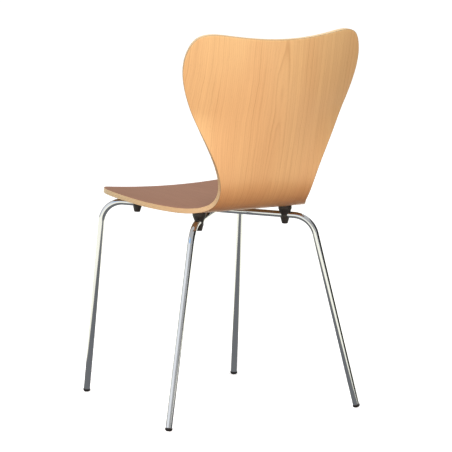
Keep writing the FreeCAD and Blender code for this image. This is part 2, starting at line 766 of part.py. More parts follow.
def joint_bead(name, sideways_a, sideways_b):
    """Bead of weld in the upright corner where the sides of two tubes meet."""
    middle = (sideways_a + sideways_b).normalize()
    reach = TUBE_RADIUS / math.sin(middle.getAngle(sideways_a))
    height = TUBE_RADIUS
    bar = doc.addObject("Part::Cylinder", name)
    bar.setExpression("Radius", "Sizes.weld_size")
    bar.setExpression("Height", "Sizes.tube_outer / 2")
    bar.Placement = upright(HUB + middle * reach, HUB_UP, -height / 2)
    return bar


joint_corners = ((run_left, run_right), (run_left, run_right * -1),
                 (run_left * -1, run_right), (run_left * -1, run_right * -1))
joint_beads = []
for side_a, side_b in joint_corners:
    name = f"joint_bead_{len(joint_beads)}"
    blank = joint_bead(f"{name}_blank", side_a, side_b)
    joint_beads.append(cut(name, blank, [through_bar, rear_bar, front_bar]))


def plate_bead(name, heading, hand, start, end):
    """Bead of weld along one side of a tube, in the corner under the hub plate."""
    bead_height = TUBE_RADIUS - size("weld_size") / 2
    bead_offset = math.sqrt(TUBE_RADIUS ** 2 - bead_height ** 2)
    sideways = heading.cross(HUB_UP).normalize() * hand
    bar = doc.addObject("Part::Cylinder", name)
    bar.setExpression("Radius", "Sizes.weld_size")
    bar.Height = end - start
    foot = HUB + heading * start + HUB_UP * bead_height + sideways * bead_offset
    bar.Placement = Placement(foot, Rotation(Vector(0, 0, 1), heading))
    return bar


bead_start = size("tube_outer")
bead_end = size("hub_plate_diameter") / 2 - size("weld_size")
plate_beads = []
bars_from_hub = ((run_left, through_bar), (run_left * -1, through_bar),
                 (run_right, rear_bar), (run_right * -1, front_bar))
for heading, bar in bars_from_hub:
    for hand in (1, -1):
        name = f"plate_bead_{len(plate_beads)}"
        blank = plate_bead(f"{name}_blank", heading, hand, bead_start, bead_end)
        plate_beads.append(cut(name, blank, [bar, plate]))
group("weld_beads", joint_beads + plate_beads)


# ---------------------------------------------------------------- supports: saddles and bumpers
saddle_master = turned_body("saddle_master", [
    ("0", "0 - saddle_skirt"), ("saddle_waist_diameter / 2", "0 - saddle_skirt"),
    ("saddle_waist_diameter / 2", "0"), ("saddle_top_diameter / 2", "saddle_rim_height"),
    ("saddle_top_diameter / 2", "saddle_rim_height + shell_gap + tube_outer"),
    ("0", "saddle_rim_height + shell_gap + tube_outer")])
bumper_master = turned_body("bumper_master", [
    ("0", "0 - bumper_reach"), ("bumper_tip_diameter / 2", "0 - bumper_reach"),
    ("bumper_top_diameter / 2", "0 - saddle_skirt"), ("0", "0 - saddle_skirt")])
round_rim(bumper_master, "bumper_rounding", "0 - bumper_reach", "bumper_edge")
doc.recompute()


def tube_channel(spot):
    """Channel for the tube, open downward so that the saddle drops onto it."""
    point, normal, _ = SUPPORTS[spot]
    heading = run_left if spot in ("front_left", "rear_right") else run_right
    length = 2 * size("saddle_top_diameter")
    round_part = doc.addObject("Part::Cylinder", f"{spot}_channel_round")
    round_part.setExpression("Radius", "Sizes.tube_outer / 2 + Sizes.fit_gap")
    round_part.Height = length
    round_part.Placement = upright(point, heading, -length / 2)
    sideways = heading.cross(normal).normalize()
    slot = doc.addObject("Part::Box", f"{spot}_channel_slot")
    slot.setExpression("Length", "Sizes.tube_outer + 2 * Sizes.fit_gap")
    slot.setExpression("Width", "Sizes.saddle_skirt + 1")
    slot.Height = length
    turn = Rotation(sideways, normal, heading, "XYZ")
    half_slot = TUBE_RADIUS + size("fit_gap")
    corner = point - sideways * half_slot - normal * (size("saddle_skirt") + 1)
    slot.Placement = Placement(corner - heading * length / 2, turn)
    return round_part, slot


for spot in SUPPORTS:
    channel_round, channel_slot = tube_channel(spot)
    saddle_blank = placed_copy(f"{spot}_saddle_blank", saddle_master, support_place(spot, 0))
    saddle_tools = [shell_block, channel_round, channel_slot, support_holes[spot]]
    keep(f"{spot}_saddle", cut(f"{spot}_saddle", saddle_blank, saddle_tools))
    pocket = rod(f"{spot}_head_pocket", "support_head_diameter + 2 * screw_gap",
                 support_place(spot, -size("bumper_reach") - 1), size("head_depth") + 1)
    bumper_blank = placed_copy(f"{spot}_bumper_blank", bumper_master, support_place(spot, 0))
    bumper_tools = [channel_round, support_holes[spot], pocket]
    keep(f"{spot}_bumper", cut(f"{spot}_bumper", bumper_blank, bumper_tools))


# ---------------------------------------------------------------- glides
glide_master = turned_body("glide_master", [
    ("0", "0"), ("glide_diameter / 2", "0"), ("glide_diameter / 2", "glide_height"),
    ("tube_outer / 2 - tube_wall - fit_gap", "glide_height"),
    ("tube_outer / 2 - tube_wall - fit_gap", "glide_height + glide_plug"),
    ("0", "glide_height + glide_plug")])
round_rim(glide_master, "glide_rounding", "0", "glide_rounding")
doc.recompute()
floor = doc.addObject("Part::Box", "floor_block")
floor_span = 4 * max(size("front_foot_reach"), size("rear_foot_half_width"))
floor.Length = floor_span
floor.Width = floor_span
floor.setExpression("Height", "Sizes.glide_height")
floor.Placement = Placement(Vector(-floor_span / 2, -floor_span / 2, -size("glide_height")), Rotation())

for side, side_name in ((LEFT, "left"), (RIGHT, "right")):
    for end_name, foot, knee in (("front", front_foot(side), front_knee(side)),
                                 ("rear", rear_foot(side), rear_knee(side))):
        node = f"{end_name}_{side_name}_glide"
        base, direction = glide_foot(foot, knee)
        blank = placed_copy(f"{node}_blank", glide_master, upright(base, direction, 0))
        keep(node, cut(node, blank, [floor]))

# ---------------------------------------------------------------- check and write
doc.recompute()
for item in doc.Objects:
    if "Invalid" in item.State or "Error" in item.State:
        raise RuntimeError(f"{item.Label} did not build: {item.State}")
os.makedirs("parts", exist_ok=True)
for node, item in PARTS.items():
    shape = item.Shape
    if shape.isNull() or not shape.isValid():
        raise RuntimeError(f"{node} has no valid shape")
    shape.exportStep(f"parts/{node}.step")
    print(f"{node}: {len(shape.Solids)} solid(s), {shape.Volume / 1000:.2f} cm3")
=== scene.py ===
# %% [markdown]
# # A stacking chair with a pressed plywood shell
# One sheet of plywood, pressed so that it is both seat and back, stands on four bent steel
# legs that cross under the seat. This file dresses the engineering model of that chair.
# Every piece made here lies exactly where its engineering part lies, and takes its place in
# the picture.

# %% load the skeleton
import json
import math

import bpy
import numpy as np
from mathutils import Matrix, Vector

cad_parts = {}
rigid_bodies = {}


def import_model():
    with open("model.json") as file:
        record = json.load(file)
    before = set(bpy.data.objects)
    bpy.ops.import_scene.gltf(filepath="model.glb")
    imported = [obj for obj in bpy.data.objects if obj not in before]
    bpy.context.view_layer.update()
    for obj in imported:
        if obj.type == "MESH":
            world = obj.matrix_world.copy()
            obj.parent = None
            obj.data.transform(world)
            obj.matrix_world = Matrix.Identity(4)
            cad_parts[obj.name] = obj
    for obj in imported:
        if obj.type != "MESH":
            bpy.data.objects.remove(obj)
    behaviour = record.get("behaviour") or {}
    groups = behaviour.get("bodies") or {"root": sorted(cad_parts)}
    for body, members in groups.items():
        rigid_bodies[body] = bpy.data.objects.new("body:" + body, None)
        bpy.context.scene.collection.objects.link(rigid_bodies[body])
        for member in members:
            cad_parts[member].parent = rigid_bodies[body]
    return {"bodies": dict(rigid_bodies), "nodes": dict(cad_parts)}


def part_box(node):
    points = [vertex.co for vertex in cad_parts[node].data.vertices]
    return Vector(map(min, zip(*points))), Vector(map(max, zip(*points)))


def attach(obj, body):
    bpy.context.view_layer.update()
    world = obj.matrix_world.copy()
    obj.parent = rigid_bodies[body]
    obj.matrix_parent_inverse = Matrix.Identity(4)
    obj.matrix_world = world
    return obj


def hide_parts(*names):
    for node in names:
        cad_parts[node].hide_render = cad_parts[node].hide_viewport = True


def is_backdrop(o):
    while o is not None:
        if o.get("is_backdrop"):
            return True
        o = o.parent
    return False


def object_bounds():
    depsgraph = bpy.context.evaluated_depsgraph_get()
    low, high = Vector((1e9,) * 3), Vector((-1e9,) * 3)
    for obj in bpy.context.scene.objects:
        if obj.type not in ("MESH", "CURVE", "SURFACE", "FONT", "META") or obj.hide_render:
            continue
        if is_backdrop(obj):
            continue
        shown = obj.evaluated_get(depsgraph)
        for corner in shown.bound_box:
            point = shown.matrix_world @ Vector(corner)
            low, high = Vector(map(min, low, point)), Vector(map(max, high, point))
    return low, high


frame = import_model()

cad_low, cad_high = (list(corner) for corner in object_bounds())
print("engineering box:", [round(v, 4) for v in cad_low], [round(v, 4) for v in cad_high])

# %% [markdown]
# ## Units and a helper for meshes
# The sizes of furniture are easiest to think of in millimetres, and Blender works in metres,
# so every driving size is written in millimetres and multiplied by MM. `new_piece` turns
# points and faces into an object. It smooths the shading and keeps a crease wherever two
# faces meet at more than CREASE, which is how machined and moulded parts read.

# %% units, bodies and a mesh helper
MM = 0.001
BODY = next(iter(frame["bodies"]))
CREASE = math.radians(35)


def shade(mesh):
    """Smooth shading that keeps creases."""
    mesh.polygons.foreach_set("use_smooth", [True] * len(mesh.polygons))
    mesh.set_sharp_from_angle(angle=CREASE)


def loose_object(name, points, faces):
    """A mesh object in the scene, with no finish yet."""
    mesh = bpy.data.meshes.new(name)
    mesh.from_pydata([tuple(point) for point in points], [], faces)
    thing = bpy.data.objects.new(name, mesh)
    bpy.context.scene.collection.objects.link(thing)
    return thing


def new_piece(name, points, faces, finish, slot, *nodes):
    """An object that rides on the chair and stands for the named engineering parts."""
    piece = loose_object(name, points, faces)
    mesh = piece.data
    mesh.validate()
    shade(mesh)
    mesh.materials.append(finish)
    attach(piece, BODY)
    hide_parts(*nodes)
    print(f"{name}: {len(mesh.vertices)} points, {len(mesh.polygons)} faces")
    return piece


# %% [markdown]
# ## Finishes: a helper
# Every finish is a small network of shader nodes. `Finish` makes one: `add` puts in a node
# with its settings, `join` connects two sockets, `texture` and `stretched` lay a pattern, and
# `sums`, `ramp` and `mix` do arithmetic with numbers and colours. A number that is the same
# all over a surface is set on the shader itself; only what varies is built from nodes.

# %% finish helper
NODE_SPACING = 220       # between nodes in the editor


def lay_stops(node, stops):
    """Sets a ramp's stops, each a place and a grey or a colour."""
    points = node.color_ramp.elements
    while len(points) < len(stops):
        points.new(0.5)
    for point, (place, colour) in zip(points, stops):
        grey = isinstance(colour, (int, float))
        point.position = place
        point.color = (colour, colour, colour, 1) if grey else (*colour, 1)


def result(node):
    """Number of the output that carries a node's result."""
    return 2 if node.bl_idname == "ShaderNodeMix" else 0


class Finish:
    """A material that is built node by node."""

    def __init__(self, name, **shader_values):
        self.material = bpy.data.materials.new(name)
        self.material.use_nodes = True
        self.tree = self.material.node_tree
        self.shader = self.tree.nodes["Principled BSDF"]
        for socket, value in shader_values.items():
            self.shader.inputs[socket.replace("_", " ")].default_value = value
        self.count = 0

    def add(self, kind, label, **values):
        """A node of a kind, with its settings and the values of its sockets."""
        node = self.tree.nodes.new(kind)
        node.label = label
        self.count += 1
        node.location = (-NODE_SPACING * self.count, 0)
        for key, value in values.items():
            if key in node.bl_rna.properties:
                setattr(node, key, value)
            else:
                node.inputs[key.replace("_", " ")].default_value = value
        return node

    def join(self, source, target, out=0, into=0):
        """A link from one node's output to another's input."""
        self.tree.links.new(source.outputs[out], target.inputs[into])

    def laid(self, node, source=None):
        """The node, laid by a source's coordinates or else by the piece's own."""
        if source is None:
            self.join(self.add("ShaderNodeTexCoord", "place"), node, "Object", "Vector")
        else:
            self.join(source, node, 0, "Vector")
        return node

    def texture(self, label, source=None, kind="ShaderNodeTexNoise", **values):
        return self.laid(self.add(kind, label, **values), source)

    def stretched(self, label, scale, source=None, **values):
        """A texture squeezed or drawn out along its axes."""
        mapping = self.laid(self.add("ShaderNodeMapping", label, Scale=scale), source)
        return self.texture(label, mapping, Scale=1.0, **values)

    def sums(self, operation, *terms):
        """A Math node. Its terms are numbers, nodes, or (node, output) pairs."""
        node = self.add("ShaderNodeMath", operation.lower(), operation=operation)
        for place, term in enumerate(terms):
            if isinstance(term, (int, float)):
                node.inputs[place].default_value = term
            else:
                source, out = term if isinstance(term, tuple) else (term, 0)
                self.join(source, node, out, place)
        return node

    def ramp(self, source, stops, out=0):
        """Colours or greys laid along a value."""
        node = self.add("ShaderNodeValToRGB", "ramp")
        lay_stops(node, stops)
        self.join(source, node, out, "Fac")
        return node

    def mix(self, share, first, second, blend="MIX"):
        """Mix of two colours; share is a number or a node."""
        node = self.add("ShaderNodeMix", blend.lower(), data_type="RGBA", blend_type=blend)
        terms = ((node.inputs[0], share), (node.inputs[6], first), (node.inputs[7], second))
        for socket, term in terms:
            if isinstance(term, (int, float)):
                socket.default_value = term
            elif isinstance(term, (list, tuple)):
                socket.default_value = (*term, 1)
            else:
                self.tree.links.new(term.outputs[result(term)], socket)
        return node

    def bump(self, height, strength, depth):
        """Fine relief that only the light sees; depth in metres."""
        node = self.add("ShaderNodeBump", "bump", Strength=strength, Distance=depth)
        self.join(height, node, 0, "Height")
        self.join(node, self.shader, "Normal", "Normal")

    def colour(self, node):
        self.join(node, self.shader, result(node), "Base Color")

    def roughness(self, node):
        self.join(node, self.shader, 0, "Roughness")


# %% [markdown]
# ## The shape of the shell
# The press gives the sheet its shape. Along its middle it rolls down a little at the front,
# runs almost level under the thighs, turns up through one bend, and leans back. Across, it
# is nearly flat at the seat and hollow in the back. That is easy to write as two formulas:
# the slope of the middle line at each running length from the front edge, and the sideways
# curve there. Any ply is then the same sheet moved down by its depth, which is why formulas
# were chosen over pushing points about by hand.

# %% shell: driving sizes
SHELL_LENGTH = 766.5     # running length, front edge to the top of the shoulders
FRONT_ROLL = 14.5        # degrees of slope added at the very edge
ROLL_LENGTH = 68.0       # running length until the roll has died out
SEAT_PITCH = 0.6, -3.3   # degrees, behind the roll and at the bend
BEND_MIDDLE = 393.5
BEND_LENGTH = 185.0
BACK_ANGLE = 74.0, 84.5  # degrees, above the bend and at the top
SEAT_RADIUS = 1650.0     # sideways radius at the front of the seat
BACK_RADIUS = 320.0, 490.0   # sideways radius above the bend and at the top
HOLLOW_START = 409.0     # where the back starts to turn hollow
HOLLOW_GROWTH = 196.0    # running length until it is fully hollow
FACE_PLY = 0.6
CORE_PLY = 1.4
CORE_COUNT = 7
STACK = 2 * FACE_PLY + CORE_COUNT * CORE_PLY
print("plywood, mm:", round(STACK, 2))

# %% shell: slope along it, hollow across it


def grow(value, power_five=False):
    """From 0 to 1 with soft ends."""
    value = np.clip(value, 0, 1)
    if power_five:
        return value ** 3 * (10 + value * (6 * value - 15))
    return value * value * (3 - 2 * value)


BEND_START = BEND_MIDDLE - BEND_LENGTH / 2
BEND_END = BEND_MIDDLE + BEND_LENGTH / 2


def slope(run):
    """Slope of the middle line, in radians."""
    roll = FRONT_ROLL * np.maximum(0, 1 - run / ROLL_LENGTH) ** 2
    seat = SEAT_PITCH[0] + (SEAT_PITCH[1] - SEAT_PITCH[0]) * run / BEND_MIDDLE + roll
    height = np.maximum(0, (run - BEND_END) / (SHELL_LENGTH - BEND_END))
    back = BACK_ANGLE[0] + (BACK_ANGLE[1] - BACK_ANGLE[0]) * height ** 2
    bent = grow((run - BEND_START) / BEND_LENGTH, power_five=True)
    return np.radians(seat + (back - seat) * bent)


def hollow(run):
    """Sideways curve of the sheet, per millimetre."""
    seat = np.maximum(0, 1 - run / BEND_MIDDLE) / SEAT_RADIUS
    height = (run - BEND_END) / (SHELL_LENGTH - BEND_END)
    back = (1 - height) / BACK_RADIUS[0] + height / BACK_RADIUS[1]
    return seat + grow((run - HOLLOW_START) / HOLLOW_GROWTH) * back


STEP = 0.25              # of the sum that turns slope into a line
PAST_EDGE = 20           # how far the line runs on past both edges
runs = np.arange(-PAST_EDGE, SHELL_LENGTH + PAST_EDGE, STEP)
line_y = np.cumsum(np.cos(slope(runs + STEP / 2))) * STEP
line_z = np.cumsum(np.sin(slope(runs + STEP / 2))) * STEP
line_y -= np.interp(0, runs, line_y)
line_z -= np.interp(0, runs, line_z)
print("middle line: back, mm:", round(line_y.max()), " up, mm:", round(line_z.max()))


def bare_face(across, run):
    """Sitter's face before it is set on the legs."""
    rise = hollow(run) * across ** 2 / 2
    tilt = slope(run)
    y = np.interp(run, runs, line_y) - rise * np.sin(tilt)
    z = np.interp(run, runs, line_z) + rise * np.cos(tilt)
    return np.stack([across, y, z], axis=-1)


def face_normal(across, run):
    """Unit normal toward the sitter."""
    reach = 0.5
    sideways = bare_face(across + reach, run) - bare_face(across - reach, run)
    backward = bare_face(across, run + reach) - bare_face(across, run - reach)
    normal = np.cross(sideways, backward)
    return normal / np.linalg.norm(normal, axis=-1, keepdims=True)


# %% [markdown]
# ## The outline of the sheet
# Before it is pressed the sheet is cut to a flat pattern: a broad seat, a waist at the bend,
# and wide round shoulders with a shallow dip between them. A cutter would draw half of it
# with a few points and a smooth curve, and mirror it. The curve here is the same: a closed
# cubic spline through the points, solved with a small set of linear equations.

# %% shell: outline
SEAT_HALF = 202.5
WAIST_HALF = 115.0
SHOULDER_HALF = 206.5
TOP_DIP = 8.5
half_outline = [
    (0, 0), (SEAT_HALF - 142.5, 1.5), (SEAT_HALF - 92.5, 6.5), (SEAT_HALF - 54.5, 17.5),
    (SEAT_HALF - 29.5, 33.5),                       # front corner
    (SEAT_HALF - 15.5, 53.5), (SEAT_HALF - 6.5, 79), (SEAT_HALF - 1.5, 111.5),
    (SEAT_HALF, 150), (SEAT_HALF - 1, 183), (SEAT_HALF - 8, 243),
    (WAIST_HALF + 42.5, BEND_MIDDLE - 65.5),
    (WAIST_HALF, BEND_MIDDLE),                      # waist
    (WAIST_HALF + 4.5, BEND_MIDDLE + 69.5), (SHOULDER_HALF - 56.5, SHELL_LENGTH - 233),
    (SHOULDER_HALF - 18.5, SHELL_LENGTH - 150), (SHOULDER_HALF, SHELL_LENGTH - 85),
    (SHOULDER_HALF - 2.5, SHELL_LENGTH - 36),
    (SHOULDER_HALF - 17.5, SHELL_LENGTH - 7),       # top corner
    (SHOULDER_HALF - 87.5, SHELL_LENGTH), (0, SHELL_LENGTH - TOP_DIP),
]
FRONT_CORNER = 4
TOP_CORNER = 18


def closed_spline(points):
    """A function that gives place and direction on a smooth closed curve through points."""
    ring = np.array(points + points[:1], float)
    at = np.concatenate([[0], np.cumsum(np.linalg.norm(np.diff(ring, axis=0), axis=1))])
    gap = np.diff(at)
    count = len(points)
    rows = np.zeros((count, count))
    right = np.zeros((count, 2))
    rate = np.diff(ring, axis=0) / gap[:, None]
    for i in range(count):
        rows[i, i - 1] += gap[i - 1]
        rows[i, i] += 2 * (gap[i - 1] + gap[i])
        rows[i, (i + 1) % count] += gap[i]
        right[i] = 6 * (rate[i] - rate[i - 1])
    bend = np.linalg.solve(rows, right)
    bend = np.vstack([bend, bend[:1]])

    def curve(place):
        place = np.mod(place, at[-1])
        i = np.clip(np.searchsorted(at, place, side="right") - 1, 0, count - 1)
        g, a, b = gap[i][:, None], (at[i + 1] - place)[:, None], (place - at[i])[:, None]
        spot = (bend[i] * a ** 3 + bend[i + 1] * b ** 3) / (6 * g)
        spot += (ring[i] / g - bend[i] * g / 6) * a + (ring[i + 1] / g - bend[i + 1] * g / 6) * b
        heading = (bend[i + 1] * b ** 2 - bend[i] * a ** 2) / (2 * g)
        heading += (ring[i + 1] - ring[i]) / g - (bend[i + 1] - bend[i]) * g / 6
        return spot, heading

    return curve, at


mirrored = [(-across, run) for across, run in half_outline[-2:0:-1]]
outline, marks = closed_spline(half_outline + mirrored)
print("length of the outline, mm:", round(marks[-1]))

# %% [markdown]
# ## Setting the shell on its engineering part
# The formulas start at the front edge. The engineering part says where that edge is and how
# high the shoulders stand, so the shell is moved to match its box.

# %% shell: place
OUTLINE_SPOTS = 2000     # enough to find the outermost points
veneer_low, veneer_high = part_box("inner_face_veneer")
ring_spots, _ = outline(np.linspace(0, marks[-1], OUTLINE_SPOTS))
ring_across, ring_run = ring_spots.T
bare_ring = bare_face(ring_across, ring_run)
lower_ring = bare_ring - face_normal(ring_across, ring_run) * FACE_PLY
both_rings = np.vstack([bare_ring, lower_ring])
SHELL_PLACE = np.array([0, veneer_low.y / MM - both_rings[:, 1].min(),
                        veneer_high.z / MM - both_rings[:, 2].max()])
print("shell placed at, mm:", SHELL_PLACE.round(2))


def shell_point(across, run, depth):
    """A point of the shell in metres, at a depth in mm below the sitter's face."""
    lowered = face_normal(across, run) * np.asarray(depth)[..., None]
    return (bare_face(across, run) + SHELL_PLACE - lowered) * MM


# %% [markdown]
# ## A ply as a mesh
# A ply is a thin sheet with two broad faces and an edge. Its faces are filled with a net of
# four-sided faces stretched between the four sides of the outline, front, left, top and
# right, which keeps the net even through the waist. Its edge is a few rings. The sanded
# rounding of the plywood's edge is cut across the plies, so each ring is drawn in by the
# amount that the rounding takes off at its depth, and a hair more where two plies are glued,
# which shows as a fine line.

# %% shell: net over the outline
CELLS_ACROSS = 44
CELLS_ALONG = 116
total = marks[-1]
sides = [
    np.linspace(marks[FRONT_CORNER], marks[TOP_CORNER], CELLS_ALONG + 1),
    np.linspace(marks[TOP_CORNER], total - marks[TOP_CORNER], CELLS_ACROSS + 1),
    np.linspace(total - marks[TOP_CORNER], total - marks[FRONT_CORNER], CELLS_ALONG + 1),
    np.linspace(total - marks[FRONT_CORNER], total + marks[FRONT_CORNER], CELLS_ACROSS + 1),
]
ring_places = np.concatenate([side[:-1] for side in sides])
ring_base, ring_heading = outline(ring_places)
ring_heading /= np.linalg.norm(ring_heading, axis=1, keepdims=True)
ring_inward = np.stack([-ring_heading[:, 1], ring_heading[:, 0]], axis=1)
RING = len(ring_places)
print("points round the edge:", RING)


def inset_ring(inset):
    """The outline drawn in by a distance in mm."""
    return ring_base + ring_inward * inset


def inner_net(ring):
    """Net of (across, run) points between the four sides of a ring."""
    a, b, c = CELLS_ALONG, CELLS_ALONG + CELLS_ACROSS, 2 * CELLS_ALONG + CELLS_ACROSS
    left, top = ring[:a + 1], ring[a:b + 1][::-1]
    right, front = ring[b:c + 1][::-1], np.vstack([ring[c:], ring[:1]])
    v = np.linspace(0, 1, CELLS_ALONG + 1)[:, None, None]
    u = np.linspace(0, 1, CELLS_ACROSS + 1)[None, :, None]
    net = (1 - v) * front[None] + v * top[None] + (1 - u) * right[:, None] + u * left[:, None]
    corners = (1 - u) * (1 - v) * front[0] + u * (1 - v) * front[-1]
    corners = corners + (1 - u) * v * top[0] + u * v * top[-1]
    return net - corners


def net_border():
    """Index in the net of each point of the ring, in the ring's order."""
    wide = CELLS_ACROSS + 1
    left = [row * wide + CELLS_ACROSS for row in range(CELLS_ALONG)]
    top = [CELLS_ALONG * wide + column for column in range(CELLS_ACROSS, 0, -1)]
    right = [row * wide for row in range(CELLS_ALONG, 0, -1)]
    front = list(range(CELLS_ACROSS))
    return left + top + right + front


# %% shell: one ply
EDGE_ROUNDING = 0.9      # radius of the sanded edge
BORDER = net_border()


def rounding_at(depth):
    """How far the sanded edge is drawn in at a depth."""
    from_face = min(depth, STACK - depth)
    if from_face >= EDGE_ROUNDING:
        return 0.0
    lift = EDGE_ROUNDING - from_face
    return EDGE_ROUNDING - math.sqrt(EDGE_ROUNDING ** 2 - lift ** 2)


def ply_piece(name, stations, finishes, slot, *nodes):
    """A closed sheet. Stations are (depth, inset) rings down its edge. The first finish is
    for its faces, and a second one, if there is one, for its edge."""
    points, patterns, faces, corners = [], [], [], []
    wide = CELLS_ACROSS + 1
    for face_number, (depth, inset) in enumerate((stations[0], stations[-1])):
        net = inner_net(inset_ring(inset)).reshape(-1, 2)
        start = sum(map(len, points))
        points.append(shell_point(net[:, 0], net[:, 1], depth))
        patterns.append(net)
        for row in range(CELLS_ALONG):
            for column in range(CELLS_ACROSS):
                first = start + row * wide + column
                cell = [first, first + 1, first + wide + 1, first + wide]
                faces.append(cell if face_number == 0 else cell[::-1])
    net_size = wide * (CELLS_ALONG + 1)
    rings = [BORDER]
    for depth, inset in stations[1:-1]:
        spots = inset_ring(inset)
        start = sum(map(len, points))
        points.append(shell_point(spots[:, 0], spots[:, 1], depth))
        patterns.append(spots)
        rings.append(list(range(start, start + RING)))
    rings.append([net_size + index for index in BORDER])
    first_edge_face = len(faces)
    for upper, lower, (d0, _), (d1, _) in zip(rings, rings[1:], stations, stations[1:]):
        for i in range(RING):
            j = (i + 1) % RING
            faces.append([upper[j], upper[i], lower[i], lower[j]])
            along_i = ring_places[i] - ring_places[0]
            along_j = along_i + (ring_places[j] - ring_places[i]) % total
            corners.append([(along_j, d0), (along_i, d0), (along_i, d1), (along_j, d1)])
    piece = new_piece(name, np.vstack(points), faces, finishes[0], slot, *nodes)
    mesh = piece.data
    flat = np.vstack(patterns)
    grain = mesh.uv_layers.new(name="grain")
    loop_points = np.zeros(len(mesh.loops), int)
    mesh.loops.foreach_get("vertex_index", loop_points)
    places = flat[loop_points]
    if len(finishes) > 1:
        mesh.materials.append(finishes[1])
        slots = np.zeros(len(faces), int)
        slots[first_edge_face:] = 1
        mesh.polygons.foreach_set("material_index", slots)
        places[4 * first_edge_face:] = np.array(corners).reshape(-1, 2)
    grain.data.foreach_set("uv", (places * MM).ravel())
    end_grain = np.zeros(len(mesh.vertices))
    facing = ring_heading[:, 0] ** 2
    for ring in rings:
        end_grain[ring] = facing
    mesh.attributes.new("end_grain", "FLOAT", "POINT").data.foreach_set("value", end_grain)
    mesh.update()
    return piece


# %% [markdown]
# ## Veneer
# The outside of the shell wears a pale, honey-coloured hardwood veneer. It is sliced flat
# from the log, so the growth rings show as long lines that meet in tall arches along the
# middle of the sheet. The pattern is made as the tree makes it: rings round a long, slightly
# leaning trunk, cut by the sheet. The distance from the trunk's middle, wobbled by a slow
# noise, drives the colour of early and late wood. Fine stretched noise adds fibres, and
# short dark dashes add pores. The veneer follows the flat pattern of the sheet, as real
# veneer does, so the lines run round the bend with the wood. The sitter's side wears a brown
# veneer with no gloss, which is the same network with other numbers.

# %% finish: veneer
VENEER_UV = "grain"
SHIVER = 0.12            # small wobble of the rings, as a share of the slow one
DEPTH_WOBBLE = 0.5       # wobble along the trunk, as a share of the one across
THIN_RINGS = 2.7         # fine rings to each strong one
TONE_LIFT = 0.12         # so that the palest wood is never quite bare
PORE_DARK = 0.45         # colour of a pore, as a share of late wood's
PORE_SHARE = 0.3
ROUGHNESS_RANGE = 0.16
FIBRE_RELIEF, PORE_RELIEF = 0.35, 0.8


def veneer_finish(name, early, late, warm, spread, lines, arch, contrast, gloss):
    """Sliced veneer with rings, fibres and pores, under a thin lacquer."""
    lean, start = arch
    ring_share, thin_share, streak_share, fibre_share = contrast
    lacquer, lacquer_roughness, wood_roughness = gloss
    f = Finish(name, Coat_Weight=lacquer, Coat_Roughness=lacquer_roughness,
               Specular_IOR_Level=0.3)
    uv = f.add("ShaderNodeUVMap", "flat pattern", uv_map=VENEER_UV)

    def grained(label, across, along, **values):
        """A texture squeezed across the sheet and drawn out along it."""
        return f.stretched(label, (across, along, 1.0), uv, **values)

    def swing(texture, share):
        """A texture's value, centred on nothing and scaled."""
        return f.sums("MULTIPLY_ADD", texture, share, -0.5 * share)

    wobble = grained("slow wobble", 7.0, 3.2, Detail=3.0, Roughness=0.5)
    shiver = grained("small wobble", 30.0, 42.0, Detail=3.0, Roughness=0.6)
    split = f.add("ShaderNodeSeparateXYZ", "across and along")
    f.join(uv, split, 0, "Vector")
    shift = f.sums("ADD", swing(wobble, spread), f.sums("MULTIPLY", shiver, spread * SHIVER))
    across = f.sums("ADD", (split, "X"), shift)
    depth = f.sums("MULTIPLY_ADD", (split, "Y"), lean, start)
    depth = f.sums("ADD", depth, f.sums("MULTIPLY", wobble, spread * DEPTH_WOBBLE))
    square = f.sums("ADD", f.sums("MULTIPLY", across, across), f.sums("MULTIPLY", depth, depth))
    radius = f.sums("SQRT", square)
    year = f.sums("FRACT", f.sums("MULTIPLY", radius, lines))
    ring = f.ramp(year, [(0.0, 0.05), (0.72, 0.15), (0.90, 1.0), (0.93, 0.85), (0.97, 0.05)])
    thin_year = f.sums("FRACT", f.sums("MULTIPLY", radius, lines * THIN_RINGS))
    thin_ring = f.ramp(thin_year, [(0.0, 0.0), (0.6, 0.1), (0.85, 1.0), (1.0, 0.0)])
    patch = grained("where rings show", 24.0, 5.0, Detail=2.0)
    ring = f.sums("MULTIPLY", ring, f.ramp(patch, [(0.34, 0.05), (0.66, 1.0)]))
    fibre = grained("fibres", 1500.0, 22.0, Detail=3.0, Roughness=0.6)
    streak = grained("streaks", 95.0, 2.6, Detail=5.0, Roughness=0.6)
    pore = grained("pores", 700.0, 60.0, kind="ShaderNodeTexVoronoi")
    pores = f.ramp(pore, [(0.0, 1.0), (0.10, 0.5), (0.2, 0.0), (1.0, 0.0)])
    tone = f.sums("MULTIPLY", ring, ring_share)
    tone = f.sums("ADD", tone, f.sums("MULTIPLY", thin_ring, thin_share))
    tone = f.sums("ADD", tone, swing(streak, streak_share))
    tone = f.sums("ADD", tone, swing(fibre, fibre_share))
    wood = f.ramp(f.sums("ADD", tone, TONE_LIFT), [(0.0, early), (1.0, late)])
    hue = grained("heartwood", 9.0, 1.6, Detail=2.0)
    wood = f.mix(f.ramp(hue, [(0.42, 0.0), (0.66, 0.75)]), wood, warm, blend="MULTIPLY")
    dark = tuple(PORE_DARK * part for part in late)
    f.colour(f.mix(f.sums("MULTIPLY", pores, PORE_SHARE), wood, dark))
    f.roughness(f.ramp(fibre, [(0.0, wood_roughness), (1.0, wood_roughness + ROUGHNESS_RANGE)]))
    height = f.sums("SUBTRACT", f.sums("MULTIPLY", fibre, FIBRE_RELIEF),
                    f.sums("MULTIPLY", pores, PORE_RELIEF))
    f.bump(height, 0.12, 0.12 * MM)
    print(f"{name}: {f.count} nodes")
    return f.material


